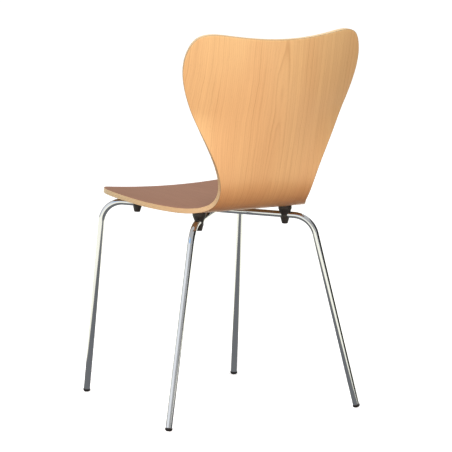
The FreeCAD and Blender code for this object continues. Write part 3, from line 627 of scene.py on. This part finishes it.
pale_veneer = veneer_finish(
    "pale_veneer", early=(0.95, 0.69, 0.342), late=(0.60, 0.345, 0.145), warm=(0.93, 0.85, 0.83),
    spread=0.026, lines=92.0, arch=(0.028, 0.004), contrast=(0.30, 0.16, 0.46, 0.34),
    gloss=(0.35, 0.22, 0.34))
brown_veneer = veneer_finish(
    "brown_veneer", early=(0.345, 0.182, 0.117), late=(0.195, 0.095, 0.061),
    warm=(0.90, 0.88, 0.86), spread=0.05, lines=110.0, arch=(0.04, 0.02),
    contrast=(0.30, 0.16, 0.45, 0.42), gloss=(0.0, 0.35, 0.62))

# %% [markdown]
# ## The cut edge of the plywood
# The edge is the chair's signature: thin pale layers with a fine line of glue between them.
# The fibres of neighbouring plies run crossways, so along any stretch of edge one ply shows
# long fibres and the next shows the ends of its fibres, which soak up lacquer and look
# darker. The mesh carries how far the edge runs across the sheet, and the finish swaps the
# two looks with it.

# %% finish: plywood edge


def edge_finish(name, grain_along):
    """Edge of one ply; its fibres run along the sheet or across it."""
    f = Finish(name, Coat_Weight=0.25, Coat_Roughness=0.25, Specular_IOR_Level=0.35)
    uv = f.add("ShaderNodeUVMap", "round the edge and down", uv_map=VENEER_UV)
    turn = f.add("ShaderNodeAttribute", "runs across", attribute_name="end_grain")
    sign, start = (1.0, 0.0) if grain_along else (-1.0, 1.0)
    share = f.sums("MULTIPLY_ADD", (turn, "Fac"), sign, start)
    fibre = f.stretched("long fibres", (60.0, 4200.0, 1.0), uv, Detail=3.0)
    pore = f.stretched("fibre ends", (2600.0, 3600.0, 1.0), uv, kind="ShaderNodeTexVoronoi")
    long_look = f.ramp(fibre, [(0.25, (0.90, 0.70, 0.42)), (0.75, (0.77, 0.57, 0.31))])
    end_look = f.ramp(pore, [(0.05, (0.36, 0.24, 0.13)), (0.45, (0.62, 0.45, 0.25))])
    f.colour(f.mix(share, long_look, end_look))
    f.roughness(f.ramp(fibre, [(0.2, 0.42), (0.8, 0.58)]))
    f.bump(fibre, 0.15, 0.1 * MM)
    print(f"{name}: {f.count} nodes")
    return f.material


edge_finishes = [edge_finish("ply_edge_along", True), edge_finish("ply_edge_across", False)]

# %% [markdown]
# The outer veneer's thin edge is sanded round and holds little lacquer, which makes it duller. Its
# colour is painted darker and greyer than the pale plies under it, as painted shade along the rim,
# and it gets a simple finish of its own.

# %% finish: veneer edge, with painted shade
sanded = Finish("veneer_edge_painted_shade", Coat_Weight=0.1, Coat_Roughness=0.4,
                Specular_IOR_Level=0.25)
sanded_uv = sanded.add("ShaderNodeUVMap", "round the edge", uv_map=VENEER_UV)
sanded_grain = sanded.texture("sanded grain", sanded_uv, Scale=420.0, Detail=3.0)
# the rim's darker, greyer colour is painted shade; the grain noise only varies it
sanded.colour(sanded.ramp(sanded_grain, [(0.3, (0.36, 0.27, 0.165)), (0.7, (0.47, 0.36, 0.22))]))
sanded.roughness(sanded.ramp(sanded_grain, [(0.3, 0.5), (0.7, 0.62)]))
print("sanded edge:", sanded.count, "nodes")

# %% [markdown]
# ## Laying up the shell
# Two thin veneers and seven thicker plies make the eleven millimetres. Each is its own piece
# with its own edge, in the engineering part's order.

# %% shell: lay up the plies
GLUE_NICK = 0.12     # how far a glue line lies below the edge
GLUE_LIP = 0.08      # how much of each ply's edge slopes into it


def edge_stations(top, bottom, nick_top, nick_bottom):
    """Rings of one ply's edge, with a fine nick at each glue line."""
    middle = [top + (bottom - top) * share for share in (0.25, 0.5, 0.75)]
    depths = [top, top + GLUE_LIP] + middle + [bottom - GLUE_LIP, bottom]
    nicks = [nick_top, 0, 0, 0, 0, 0, nick_bottom]
    return [(depth, rounding_at(depth) + nick) for depth, nick in zip(depths, nicks)]


ply_piece("sitter_veneer", edge_stations(0, FACE_PLY, 0, GLUE_NICK), [brown_veneer],
          "brown_veneer", "inner_face_veneer")
for number in range(CORE_COUNT):
    ply_top = FACE_PLY + number * CORE_PLY
    finish = edge_finishes[number % 2]
    ply_piece(f"core_sheet_{number + 1}",
              edge_stations(ply_top, ply_top + CORE_PLY, GLUE_NICK, GLUE_NICK),
              [finish, finish], "core_wood", f"core_ply_{number + 1}")
# the outer veneer's edge takes the darker rim colour, which is painted shade
ply_piece("outer_veneer", edge_stations(STACK - FACE_PLY, STACK, GLUE_NICK, 0),
          [pale_veneer, sanded.material], "pale_veneer", "outer_face_veneer")

# %% [markdown]
# ## Chrome
# The legs are steel tube with bright chrome on them. Chrome is almost a mirror, so most of
# its look is what it reflects. The finish only takes the edge off: a light tint, a slight
# unevenness from polishing the steel before plating, and faint lengthwise polishing marks.

# %% finish: chrome
chrome = Finish("chrome_tube", Metallic=1.0, Specular_IOR_Level=0.5)
cloud = chrome.texture("plating haze", Scale=14.0, Detail=3.0)
chrome.colour(chrome.ramp(cloud, [(0.3, (0.66, 0.67, 0.69)), (0.7, (0.72, 0.73, 0.74))]))
chrome.roughness(chrome.ramp(cloud, [(0.35, 0.055), (0.7, 0.11)]))
polish = chrome.stretched("polish", (900.0, 900.0, 30.0), Detail=2.0)
chrome.bump(polish, 0.03, 0.02 * MM)
print("chrome:", chrome.count, "nodes")

# %% [markdown]
# ## Legs
# Two tubes cross under the seat. One runs through, from the front left foot to the rear right
# one. The other is two pieces, each cut to sit against the first and welded there. A leg is a
# round section carried along a path of straight runs and arcs, which is how a tube bender
# makes it. The sweep is written out by hand so that the arcs are true arcs and the end of
# each half tube can be shaped to the tube that it meets.

# %% legs: driving points
TUBE_RADIUS = 7.0
KNEE_RADIUS = 50.0       # of the bend, at the middle of the tube
LEFT, RIGHT = 1, -1
AROUND = 40              # points round a tube
FRONT_KNEE_ACROSS, REAR_KNEE_ACROSS = 175.0, 146.3
GLIDE_RADIUS = 8.0
GLIDE_HEIGHT = 6.5
GLIDE_ROUNDING = 5.0
GLIDE_FLAT = 0.5         # how much of the dome the floor presses flat


def front_knee(side):
    return Vector((side * FRONT_KNEE_ACROSS, -205.7, 434.0))


def rear_knee(side):
    return Vector((side * REAR_KNEE_ACROSS, 135.2, 417.0))


def front_foot(side):
    return Vector((side * 190.0, -262.0, 0.0))


def rear_foot(side):
    return Vector((side * 233.5, 184.0, 0.0))


meeting = FRONT_KNEE_ACROSS / (FRONT_KNEE_ACROSS + REAR_KNEE_ACROSS)
HUB = front_knee(LEFT).lerp(rear_knee(RIGHT), meeting)
through_way = (rear_knee(RIGHT) - front_knee(LEFT)).normalized()
print("tubes cross at, mm:", [round(v, 1) for v in HUB])


def glide_base(foot, knee):
    """Where the glide's lower end stands, and the leg's direction upward."""
    up = (knee - foot).normalized()
    lean = up.angle(Vector((0, 0, 1)))
    drop = GLIDE_ROUNDING * (1 - math.cos(lean))
    drop = drop + (GLIDE_RADIUS - GLIDE_ROUNDING) * math.sin(lean)
    return foot + up * ((drop - GLIDE_FLAT) / up.z), up


def tube_start(foot, knee):
    """Lower end of a tube, on its glide's rim."""
    base, up = glide_base(foot, knee)
    return base + up * GLIDE_HEIGHT


# %% legs: sweep


def bent_line(points, radius, arc_steps=20, run_steps=6):
    """Points along straight runs joined by arcs, with the direction at each."""
    line = []
    start = points[0]
    for before, corner, after in zip(points, points[1:], points[2:]):
        into, out = (corner - before).normalized(), (after - corner).normalized()
        half = into.angle(out) / 2
        reach = radius * math.tan(half)
        begin = corner - into * reach
        line += [(start.lerp(begin, step / run_steps), into) for step in range(run_steps)]
        axis = into.cross(out).normalized()
        hub = begin + axis.cross(into) * radius
        for step in range(arc_steps):
            turn = Matrix.Rotation(2 * half * step / arc_steps, 3, axis)
            line.append((hub + turn @ (begin - hub), turn @ into))
        start, heading = corner + out * reach, out
    end = points[-1]
    line += [(start.lerp(end, step / run_steps), heading) for step in range(run_steps + 1)]
    return line


def ring_axes(heading, side):
    """Two axes square to a heading, the first kept close to a given side."""
    first = (side - heading * side.dot(heading)).normalized()
    return first, heading.cross(first)


def cope(ring, heading, hub, axis):
    """A tube's last ring, moved along the tube until it lies on the tube that it meets."""
    toward = (heading - axis * heading.dot(axis)).normalized()
    beside = heading.cross(axis).normalized()
    coped = []
    for spot in ring:
        offset = spot - hub
        behind = offset - axis * offset.dot(axis)
        want = -math.sqrt(max(0.0, TUBE_RADIUS ** 2 - offset.dot(beside) ** 2))
        coped.append(spot + heading * ((want - behind.dot(toward)) / heading.dot(toward)))
    return coped


def sweep_tube(points, meets=None, lip=0.5):
    """Points and faces of a bent tube. If it meets another, its last ring lies on that one."""
    line = bent_line(points, KNEE_RADIUS)
    plane = (points[1] - points[0]).cross(points[2] - points[1]).normalized()
    head = line[0][1]
    rings = [(points[0], head, TUBE_RADIUS - lip), (points[0] + head * lip, head, TUBE_RADIUS)]
    rings += [(spot, way, TUBE_RADIUS) for spot, way in line[1:]]
    cloud = []
    for spot, way, radius in rings:
        first, second = ring_axes(way, plane)
        for step in range(AROUND):
            turn = 2 * math.pi * step / AROUND
            cloud.append(spot + (first * math.cos(turn) + second * math.sin(turn)) * radius)
    if meets is not None:
        cloud[-AROUND:] = cope(cloud[-AROUND:], line[-1][1], *meets)
    faces = []
    for ring in range(len(rings) - 1):
        for step in range(AROUND):
            a, b = ring * AROUND + step, ring * AROUND + (step + 1) % AROUND
            faces.append([a, b, b + AROUND, a + AROUND])
    faces.append(list(range(AROUND))[::-1])
    faces.append(list(range(len(cloud) - AROUND, len(cloud))))
    return [spot * MM for spot in cloud], faces


# %% legs: three tubes
through_points = [tube_start(front_foot(LEFT), front_knee(LEFT)), front_knee(LEFT),
                  rear_knee(RIGHT), tube_start(rear_foot(RIGHT), rear_knee(RIGHT))]
front_points = [tube_start(front_foot(RIGHT), front_knee(RIGHT)), front_knee(RIGHT), HUB]
rear_points = [tube_start(rear_foot(LEFT), rear_knee(LEFT)), rear_knee(LEFT), HUB]
new_piece("through_leg", *sweep_tube(through_points), chrome.material, "chrome_tube",
          "through_leg_tube")
for corner, half_points in (("front_right", front_points), ("rear_left", rear_points)):
    new_piece(f"{corner}_leg", *sweep_tube(half_points, (HUB, through_way)), chrome.material,
              "chrome_tube", f"{corner}_leg_tube")

# %% [markdown]
# ## Black moulded parts
# Saddles, bumpers, the hub pad and the glides are injection-moulded nylon. The mould is
# spark-eroded, which leaves an even fine grain, and scuffed patches, spread at random over every
# part, get a little greyer and shinier.

# %% finish: moulded nylon
plastic = Finish("black_plastic", Specular_IOR_Level=0.45)
grit = plastic.texture("mould grain", Scale=2600.0, Detail=2.0)
scuff = plastic.texture("scuffs", Scale=160.0, Detail=4.0, Roughness=0.6)
plastic.colour(plastic.ramp(scuff, [(0.35, (0.018, 0.017, 0.017)), (0.75, (0.034, 0.032, 0.031))]))
plastic.roughness(plastic.ramp(scuff, [(0.3, 0.5), (0.7, 0.36)]))
plastic.bump(grit, 0.25, 0.03 * MM)
print("nylon:", plastic.count, "nodes")

# %% [markdown]
# ## Turned shapes
# Glides, bumpers and saddles are round about an axis. `soften` rounds the corners of a
# profile, and `turned` spins it.

# %% lathe helpers


def soften(corners, radii, steps=5):
    """Profile with its corners rounded by the given radii; zero leaves a corner sharp."""
    smooth = []
    for index, (corner, radius) in enumerate(zip(corners, radii)):
        here = Vector(corner)
        if radius == 0:
            smooth.append(here)
            continue
        before, after = Vector(corners[index - 1]), Vector(corners[(index + 1) % len(corners)])
        into, out = (here - before).normalized(), (after - here).normalized()
        half = into.angle(out) / 2
        reach = radius * math.tan(half)
        begin, end = here - into * reach, here + out * reach
        middle = (begin + end) / 2
        centre = here + (middle - here).normalized() * (radius / math.cos(half))
        for step in range(steps + 1):
            share = step / steps
            chord = begin.lerp(end, share) - centre
            smooth.append(centre + chord.normalized() * radius)
    return smooth


def upright(spot, up):
    """Matrix that sets a turned shape on a spot, with its axis along a direction."""
    return Matrix.Translation(spot * MM) @ up.to_track_quat("Z", "Y").to_matrix().to_4x4()


def turned(profile, place, around=48):
    """Points and faces of a closed shape, spun from a profile of (radius, height) that
    starts and ends on the axis."""
    inner = profile[1:-1]
    points = [place @ Vector((0, 0, end[1] * MM)) for end in (profile[0], profile[-1])]
    for radius, height in inner:
        for step in range(around):
            turn = 2 * math.pi * step / around
            spot = Vector((radius * math.cos(turn), radius * math.sin(turn), height))
            points.append(place @ (spot * MM))
    faces = []
    for step in range(around):
        following = (step + 1) % around
        faces.append([0, 2 + following, 2 + step])
        last = 2 + (len(inner) - 1) * around
        faces.append([1, last + step, last + following])
        for ring in range(len(inner) - 1):
            a, b = 2 + ring * around + step, 2 + ring * around + following
            faces.append([a, b, b + around, a + around])
    return points, faces


# %% [markdown]
# ## Glides
# Each leg stands on a domed cap with a plug that is pressed into the tube. The rim is square
# to the leg, the dome is pressed flat where it stands on the floor.

# %% glides
PLUG_RADIUS = 4.9
PLUG_LENGTH = 16.0
glide_profile = soften(
    [(0, 0), (GLIDE_RADIUS, 0), (GLIDE_RADIUS, GLIDE_HEIGHT), (PLUG_RADIUS, GLIDE_HEIGHT),
     (PLUG_RADIUS, GLIDE_HEIGHT + PLUG_LENGTH), (0, GLIDE_HEIGHT + PLUG_LENGTH)],
    [0, GLIDE_ROUNDING, 0.5, 0.2, 0.8, 0], steps=7)
corners_of_chair = {
    "front_left": (front_foot(LEFT), front_knee(LEFT)),
    "front_right": (front_foot(RIGHT), front_knee(RIGHT)),
    "rear_left": (rear_foot(LEFT), rear_knee(LEFT)),
    "rear_right": (rear_foot(RIGHT), rear_knee(RIGHT)),
}
for corner, (foot, knee) in corners_of_chair.items():
    base, up = glide_base(foot, knee)
    points, faces = turned(glide_profile, upright(base, up))
    for point in points:
        point.z = max(point.z, 0.0)
    new_piece(f"{corner}_foot_cap", points, faces, plastic.material, "black_plastic",
              f"{corner}_glide")

# %% [markdown]
# ## Saddles and bumpers
# Near the edge of the shell a saddle sits on each tube and carries the plywood. It flares
# upward like a trumpet's bell. Under the tube is a tapered bumper, which lands on the next
# chair in a stack. The tube lies in a channel through both, which is cut with a boolean, as
# a core would form it in the mould.

# %% saddles and bumpers
FIT_GAP = 0.1            # between a tube and the channel round it
SADDLE_TOP, SADDLE_WAIST = 14.5, 9.5                  # radii
SADDLE_RIM, SADDLE_SKIRT = 13.0, 5.5                  # above and below the tube's middle
BUMPER_TOP, BUMPER_TIP, BUMPER_REACH = 10.0, 6.5, 19.5  # two radii and the depth
FRONT_INSET, REAR_INSET = 78.5, 58.5                  # from the knee, along the tube
CUTTER_REACH = 40.0
FIRST_GUESS = 200.0      # running length on the seat where the search starts
SETTLE_STEPS = 40


def under_shell(point):
    """Direction square to the shell above a point of a tube, and the distance to it."""
    across, run = point.x, FIRST_GUESS
    for _ in range(SETTLE_STEPS):
        at, run_at = np.array([across]), np.array([run])
        under = Vector(shell_point(at, run_at, np.array([STACK]))[0] / MM)
        normal = Vector(face_normal(at, run_at)[0])
        gap = (under - point).dot(normal)
        foot = point + normal * gap
        across += foot.x - under.x
        run += (foot.y - under.y) / math.cos(float(slope(run)))
    return normal, gap


def hollow_out(piece, cutter):
    """Cut one object with another and keep the result in the mesh."""
    step = piece.modifiers.new("channel", "BOOLEAN")
    step.object, step.operation, step.solver = cutter, "DIFFERENCE", "EXACT"
    seen = piece.evaluated_get(bpy.context.evaluated_depsgraph_get())
    mesh = bpy.data.meshes.new_from_object(seen)
    piece.modifiers.clear()
    piece.data = mesh
    shade(mesh)


def channel_cutter(spot, way):
    """A loose round bar, as thick as the tube with its gap."""
    radius = TUBE_RADIUS + FIT_GAP
    profile = [(0, -CUTTER_REACH), (radius, -CUTTER_REACH), (radius, CUTTER_REACH),
               (0, CUTTER_REACH)]
    return loose_object("cutter", *turned(profile, upright(spot, way)))


support_spots = {}
for side, side_name in ((LEFT, "left"), (RIGHT, "right")):
    for end, knee, far, inset in (("front", front_knee(side), rear_knee(-side), FRONT_INSET),
                                  ("rear", rear_knee(side), front_knee(-side), REAR_INSET)):
        way = (far - knee).normalized()
        support_spots[f"{end}_{side_name}"] = (knee + way * inset, way)
for corner, (spot, way) in support_spots.items():
    normal, gap = under_shell(spot)
    saddle_profile = soften(
        [(0, -SADDLE_SKIRT), (SADDLE_WAIST, -SADDLE_SKIRT), (SADDLE_WAIST, 0),
         (SADDLE_TOP, SADDLE_RIM), (SADDLE_TOP, gap), (0, gap)],
        [0, 0.6, 7.0, 2.2, 0.5, 0])
    bumper_profile = soften(
        [(0, -BUMPER_REACH), (BUMPER_TIP, -BUMPER_REACH), (BUMPER_TOP, -SADDLE_SKIRT),
         (0, -SADDLE_SKIRT)],
        [0, 1.5, 0.4, 0])
    cutter = channel_cutter(spot, way)
    for part, profile in (("saddle", saddle_profile), ("bumper", bumper_profile)):
        piece = new_piece(f"{corner}_support_{part}", *turned(profile, upright(spot, normal)),
                          plastic.material, "black_plastic", f"{corner}_{part}")
        hollow_out(piece, cutter)
    bpy.data.objects.remove(cutter)

# %% [markdown]
# ## Hub and fasteners
# The tubes carry a round steel plate where they cross, with a moulded pad above it, and
# screws hold all of it to nuts pressed into the plywood. These small parts already have their
# true shapes, so they stay and only get their finishes.

# %% finish: zinc plate and welds
zinc = Finish("zinc_steel", Metallic=1.0)
zinc_cloud = zinc.texture("passivation", Scale=220.0, Detail=4.0)
zinc.colour(zinc.ramp(zinc_cloud, [(0.3, (0.50, 0.51, 0.53)), (0.7, (0.66, 0.66, 0.64))]))
zinc.roughness(zinc.ramp(zinc_cloud, [(0.3, 0.42), (0.7, 0.26)]))
zinc.bump(zinc_cloud, 0.1, 0.05 * MM)
kept_finishes = {
    "hub_plate": chrome, "weld_beads": chrome, "hub_pad": plastic, "hub_screws": zinc,
    "hub_t_nuts": zinc, "support_screws": zinc, "support_t_nuts": zinc,
}
for node, finish in kept_finishes.items():
    kept = frame["nodes"][node]
    kept.data.materials.clear()
    kept.data.materials.append(finish.material)
print("kept parts:", sorted(kept_finishes))

# %% [markdown]
# ## Camera
# The chair is seen from behind and to the sitter's left, from a little above the seat,
# through a long lens, which keeps its lines almost parallel.

# %% camera
TARGET = Vector((0.0057, 0.0338, 0.3946))
AZIMUTH, ELEVATION, DISTANCE = math.radians(149.38), math.radians(8.44), 5.9675
back = Vector((math.sin(AZIMUTH) * math.cos(ELEVATION), -math.cos(AZIMUTH) * math.cos(ELEVATION),
               math.sin(ELEVATION)))
lens = bpy.data.cameras.new("camera")
lens.lens = 221.95
lens.sensor_width = 36.0
camera = bpy.data.objects.new("camera", lens)
camera.location = TARGET + back * DISTANCE
camera.rotation_euler = (-back).to_track_quat("-Z", "Y").to_euler()
bpy.context.scene.collection.objects.link(camera)
bpy.context.scene.camera = camera
print("camera at, m:", [round(v, 3) for v in camera.location])

# %% [markdown]
# ## Studio
# The floor is a plain white sheet that runs out of sight. Chrome has no colour of its own, so
# it needs a room to reflect, and a white one would make it vanish. As photographers do, the
# room is made of cards: a grey turntable under the chair with a cream floor beyond it, a dark
# screen on the right, a cool window on the left with a patch of blue sky in its upper part,
# and slatted blinds to the right of the camera. Only reflections see the cards, and the white
# floor is left out of them, so that the legs show the turntable instead.

# %% stage helper


def stage_sheet(name, corners, finish):
    """A flat sheet that belongs to the studio."""
    sheet = loose_object(name, corners, [tuple(range(len(corners)))])
    sheet.data.materials.append(finish.material)
    sheet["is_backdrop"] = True
    return sheet


def square(reach, height):
    """Corners of a level square about the origin."""
    return [(-reach, -reach, height), (reach, -reach, height), (reach, reach, height),
            (-reach, reach, height)]


# %% floor
FLOOR_REACH = 60.0
paper = Finish("floor_paper", Roughness=0.9, Specular_IOR_Level=0.0, Emission_Strength=0.48,
               Emission_Color=(1, 1, 1, 1))
fleck = paper.add("ShaderNodeTexNoise", "paper", Scale=3.0, Detail=2.0)
paper.colour(paper.ramp(fleck, [(0.0, (0.93, 0.93, 0.93)), (1.0, (0.97, 0.97, 0.97))]))
floor = stage_sheet("floor", square(FLOOR_REACH, 0.0), paper)
floor.visible_glossy = False
floor.visible_diffuse = False

# %% cards that only reflections see


def card(name, corners, finish):
    """A sheet seen only in reflections."""
    sheet = stage_sheet(name, corners, finish)
    sheet.visible_camera = False
    sheet.visible_diffuse = False
    sheet.visible_shadow = False
    sheet.visible_transmission = False


def glow(name, colour, strength):
    """A card's own light, with no gloss of its own."""
    return Finish(name, Base_Color=(0, 0, 0, 1), Specular_IOR_Level=0.0, Roughness=1.0,
                  Emission_Color=(*colour, 1), Emission_Strength=strength)


TURNTABLE = 0.78         # radius in metres, where grey turns to cream
GROUND_REACH = 30.0
UNDER_FLOOR = -0.002
ground = glow("turntable_and_floor", (1, 1, 1), 1.35)
where = ground.add("ShaderNodeTexCoord", "where")
flat = ground.add("ShaderNodeVectorMath", "flat", operation="MULTIPLY")
ground.join(where, flat, "Object", 0)
flat.inputs[1].default_value = (1, 1, 0)
reach = ground.add("ShaderNodeVectorMath", "reach", operation="LENGTH")
ground.join(flat, reach, 0, 0)
tint = ground.ramp(reach, [(0.0, (0.145, 0.15, 0.16)), (TURNTABLE - 0.06, (0.16, 0.165, 0.17)),
                           (TURNTABLE + 0.05, (1.0, 0.98, 0.83)), (1.0, (1.0, 0.99, 0.87))],
                   out="Value")
ground.join(tint, ground.shader, "Color", "Emission Color")
card("ground_card", square(GROUND_REACH, UNDER_FLOOR), ground)

# %% standing cards
RIGHT_OF_CAMERA = AZIMUTH + math.radians(5)       # direction in plan


def standing_card(name, turn, distance, width, low, high, finish):
    """An upright card, turned in degrees from the camera's right and facing the chair."""
    angle = RIGHT_OF_CAMERA + math.radians(turn)
    toward = Vector((math.cos(angle), math.sin(angle), 0))
    along = Vector((-toward.y, toward.x, 0)) * width / 2
    spots = [toward * distance + along * s + Vector((0, 0, z))
             for s, z in ((-1, low), (1, low), (1, high), (-1, high))]
    card(name, spots, finish)


standing_card("dark_screen", 0, 1.7, 2.6, 0.0, 2.2, glow("dark_screen", (1, 1, 1), 0.03))
standing_card("cool_window", -150, 2.4, 4.4, 0.25, 2.2,
              glow("cool_window", (0.94, 0.97, 1.0), 1.12))
standing_card("sky_light", -140, 2.3, 2.6, 1.25, 2.3, glow("sky_light", (0.35, 0.62, 1.0), 1.1))
blinds = glow("blinds", (1, 1, 1), 0.95)
slats = blinds.texture("slats", kind="ShaderNodeTexWave", wave_type="BANDS",
                       bands_direction="X", Scale=0.55, Distortion=0.8, Detail=1.0)
slat_tone = blinds.ramp(slats, [(0.0, (0.08, 0.08, 0.09)), (0.3, (0.30, 0.30, 0.31)),
                                (0.75, (0.90, 0.90, 0.90))])
blinds.join(slat_tone, blinds.shader, "Color", "Emission Color")
standing_card("blinds", -55, 2.6, 2.2, 0.25, 2.2, blinds)

# %% [markdown]
# ## Light
# The room's own light comes from the world: white above, and a warm brown below, as a floor
# throws its colour back at the underside of a seat. Two soft boxes light the wood, a strong
# one high on the camera's left and a weaker one on its right, and a low orange one warms what
# faces down. The chrome shows the world and the cards, but not these lamps.

# %% world
world = bpy.data.worlds.new("studio")
bpy.context.scene.world = world
world.use_nodes = True
nodes, links = world.node_tree.nodes, world.node_tree.links
way_in = nodes.new("ShaderNodeTexCoord")
split = nodes.new("ShaderNodeSeparateXYZ")
stretch = nodes.new("ShaderNodeMapRange")
stretch.inputs["From Min"].default_value = -1.0
sky = nodes.new("ShaderNodeValToRGB")
stops = [(0.0, (0.22, 0.15, 0.10)), (0.42, (0.20, 0.14, 0.10)), (0.5, (0.5, 0.47, 0.44)),
         (0.54, (0.85, 0.85, 0.85)), (0.7, (1, 1, 1)), (1.0, (1, 1, 1))]
lay_stops(sky, stops)
links.new(way_in.outputs["Generated"], split.inputs[0])
links.new(split.outputs["Z"], stretch.inputs["Value"])
links.new(stretch.outputs[0], sky.inputs[0])
links.new(sky.outputs[0], nodes["Background"].inputs["Color"])
nodes["Background"].inputs["Strength"].default_value = 0.62
print("world:", len(stops), "stops from floor to ceiling")

# %% lamps


def softbox(name, spot, size, power, colour, aim=(0, 0, 0.5)):
    """A large soft lamp aimed at the chair, left out of reflections."""
    lamp = bpy.data.lights.new(name, "AREA")
    lamp.shape, lamp.size, lamp.size_y = "RECTANGLE", size[0], size[1]
    lamp.energy, lamp.color = power, colour
    holder = bpy.data.objects.new(name, lamp)
    holder.location = spot
    holder.rotation_euler = (Vector(aim) - Vector(spot)).to_track_quat("-Z", "Y").to_euler()
    holder.visible_glossy = False
    bpy.context.scene.collection.objects.link(holder)
    print(f"{name}: {power} W")


softbox("key", (2.4, 1.7, 4.1), (1.8, 1.8), 158.0, (1.0, 0.975, 0.94))
softbox("fill", (-1.4, 3.3, 2.4), (1.8, 1.8), 40.0, (1.0, 0.985, 0.965))
softbox("bounce", (0.5, 1.3, 0.05), (1.6, 1.0), 9.0, (1.0, 0.36, 0.12), (0, 0.1, 0.5))
bpy.context.scene.view_settings.view_transform = "Standard"

# %% [markdown]
# ## Check of size
# The dressed chair has to fill the same box as the engineering model.

# %% sizes, and finish
visual_low, visual_high = (list(corner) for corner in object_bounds())
pairs = zip(visual_low + visual_high, cad_low + cad_high)
print("difference, mm:", [round((visual - cad) / MM, 2) for visual, cad in pairs])
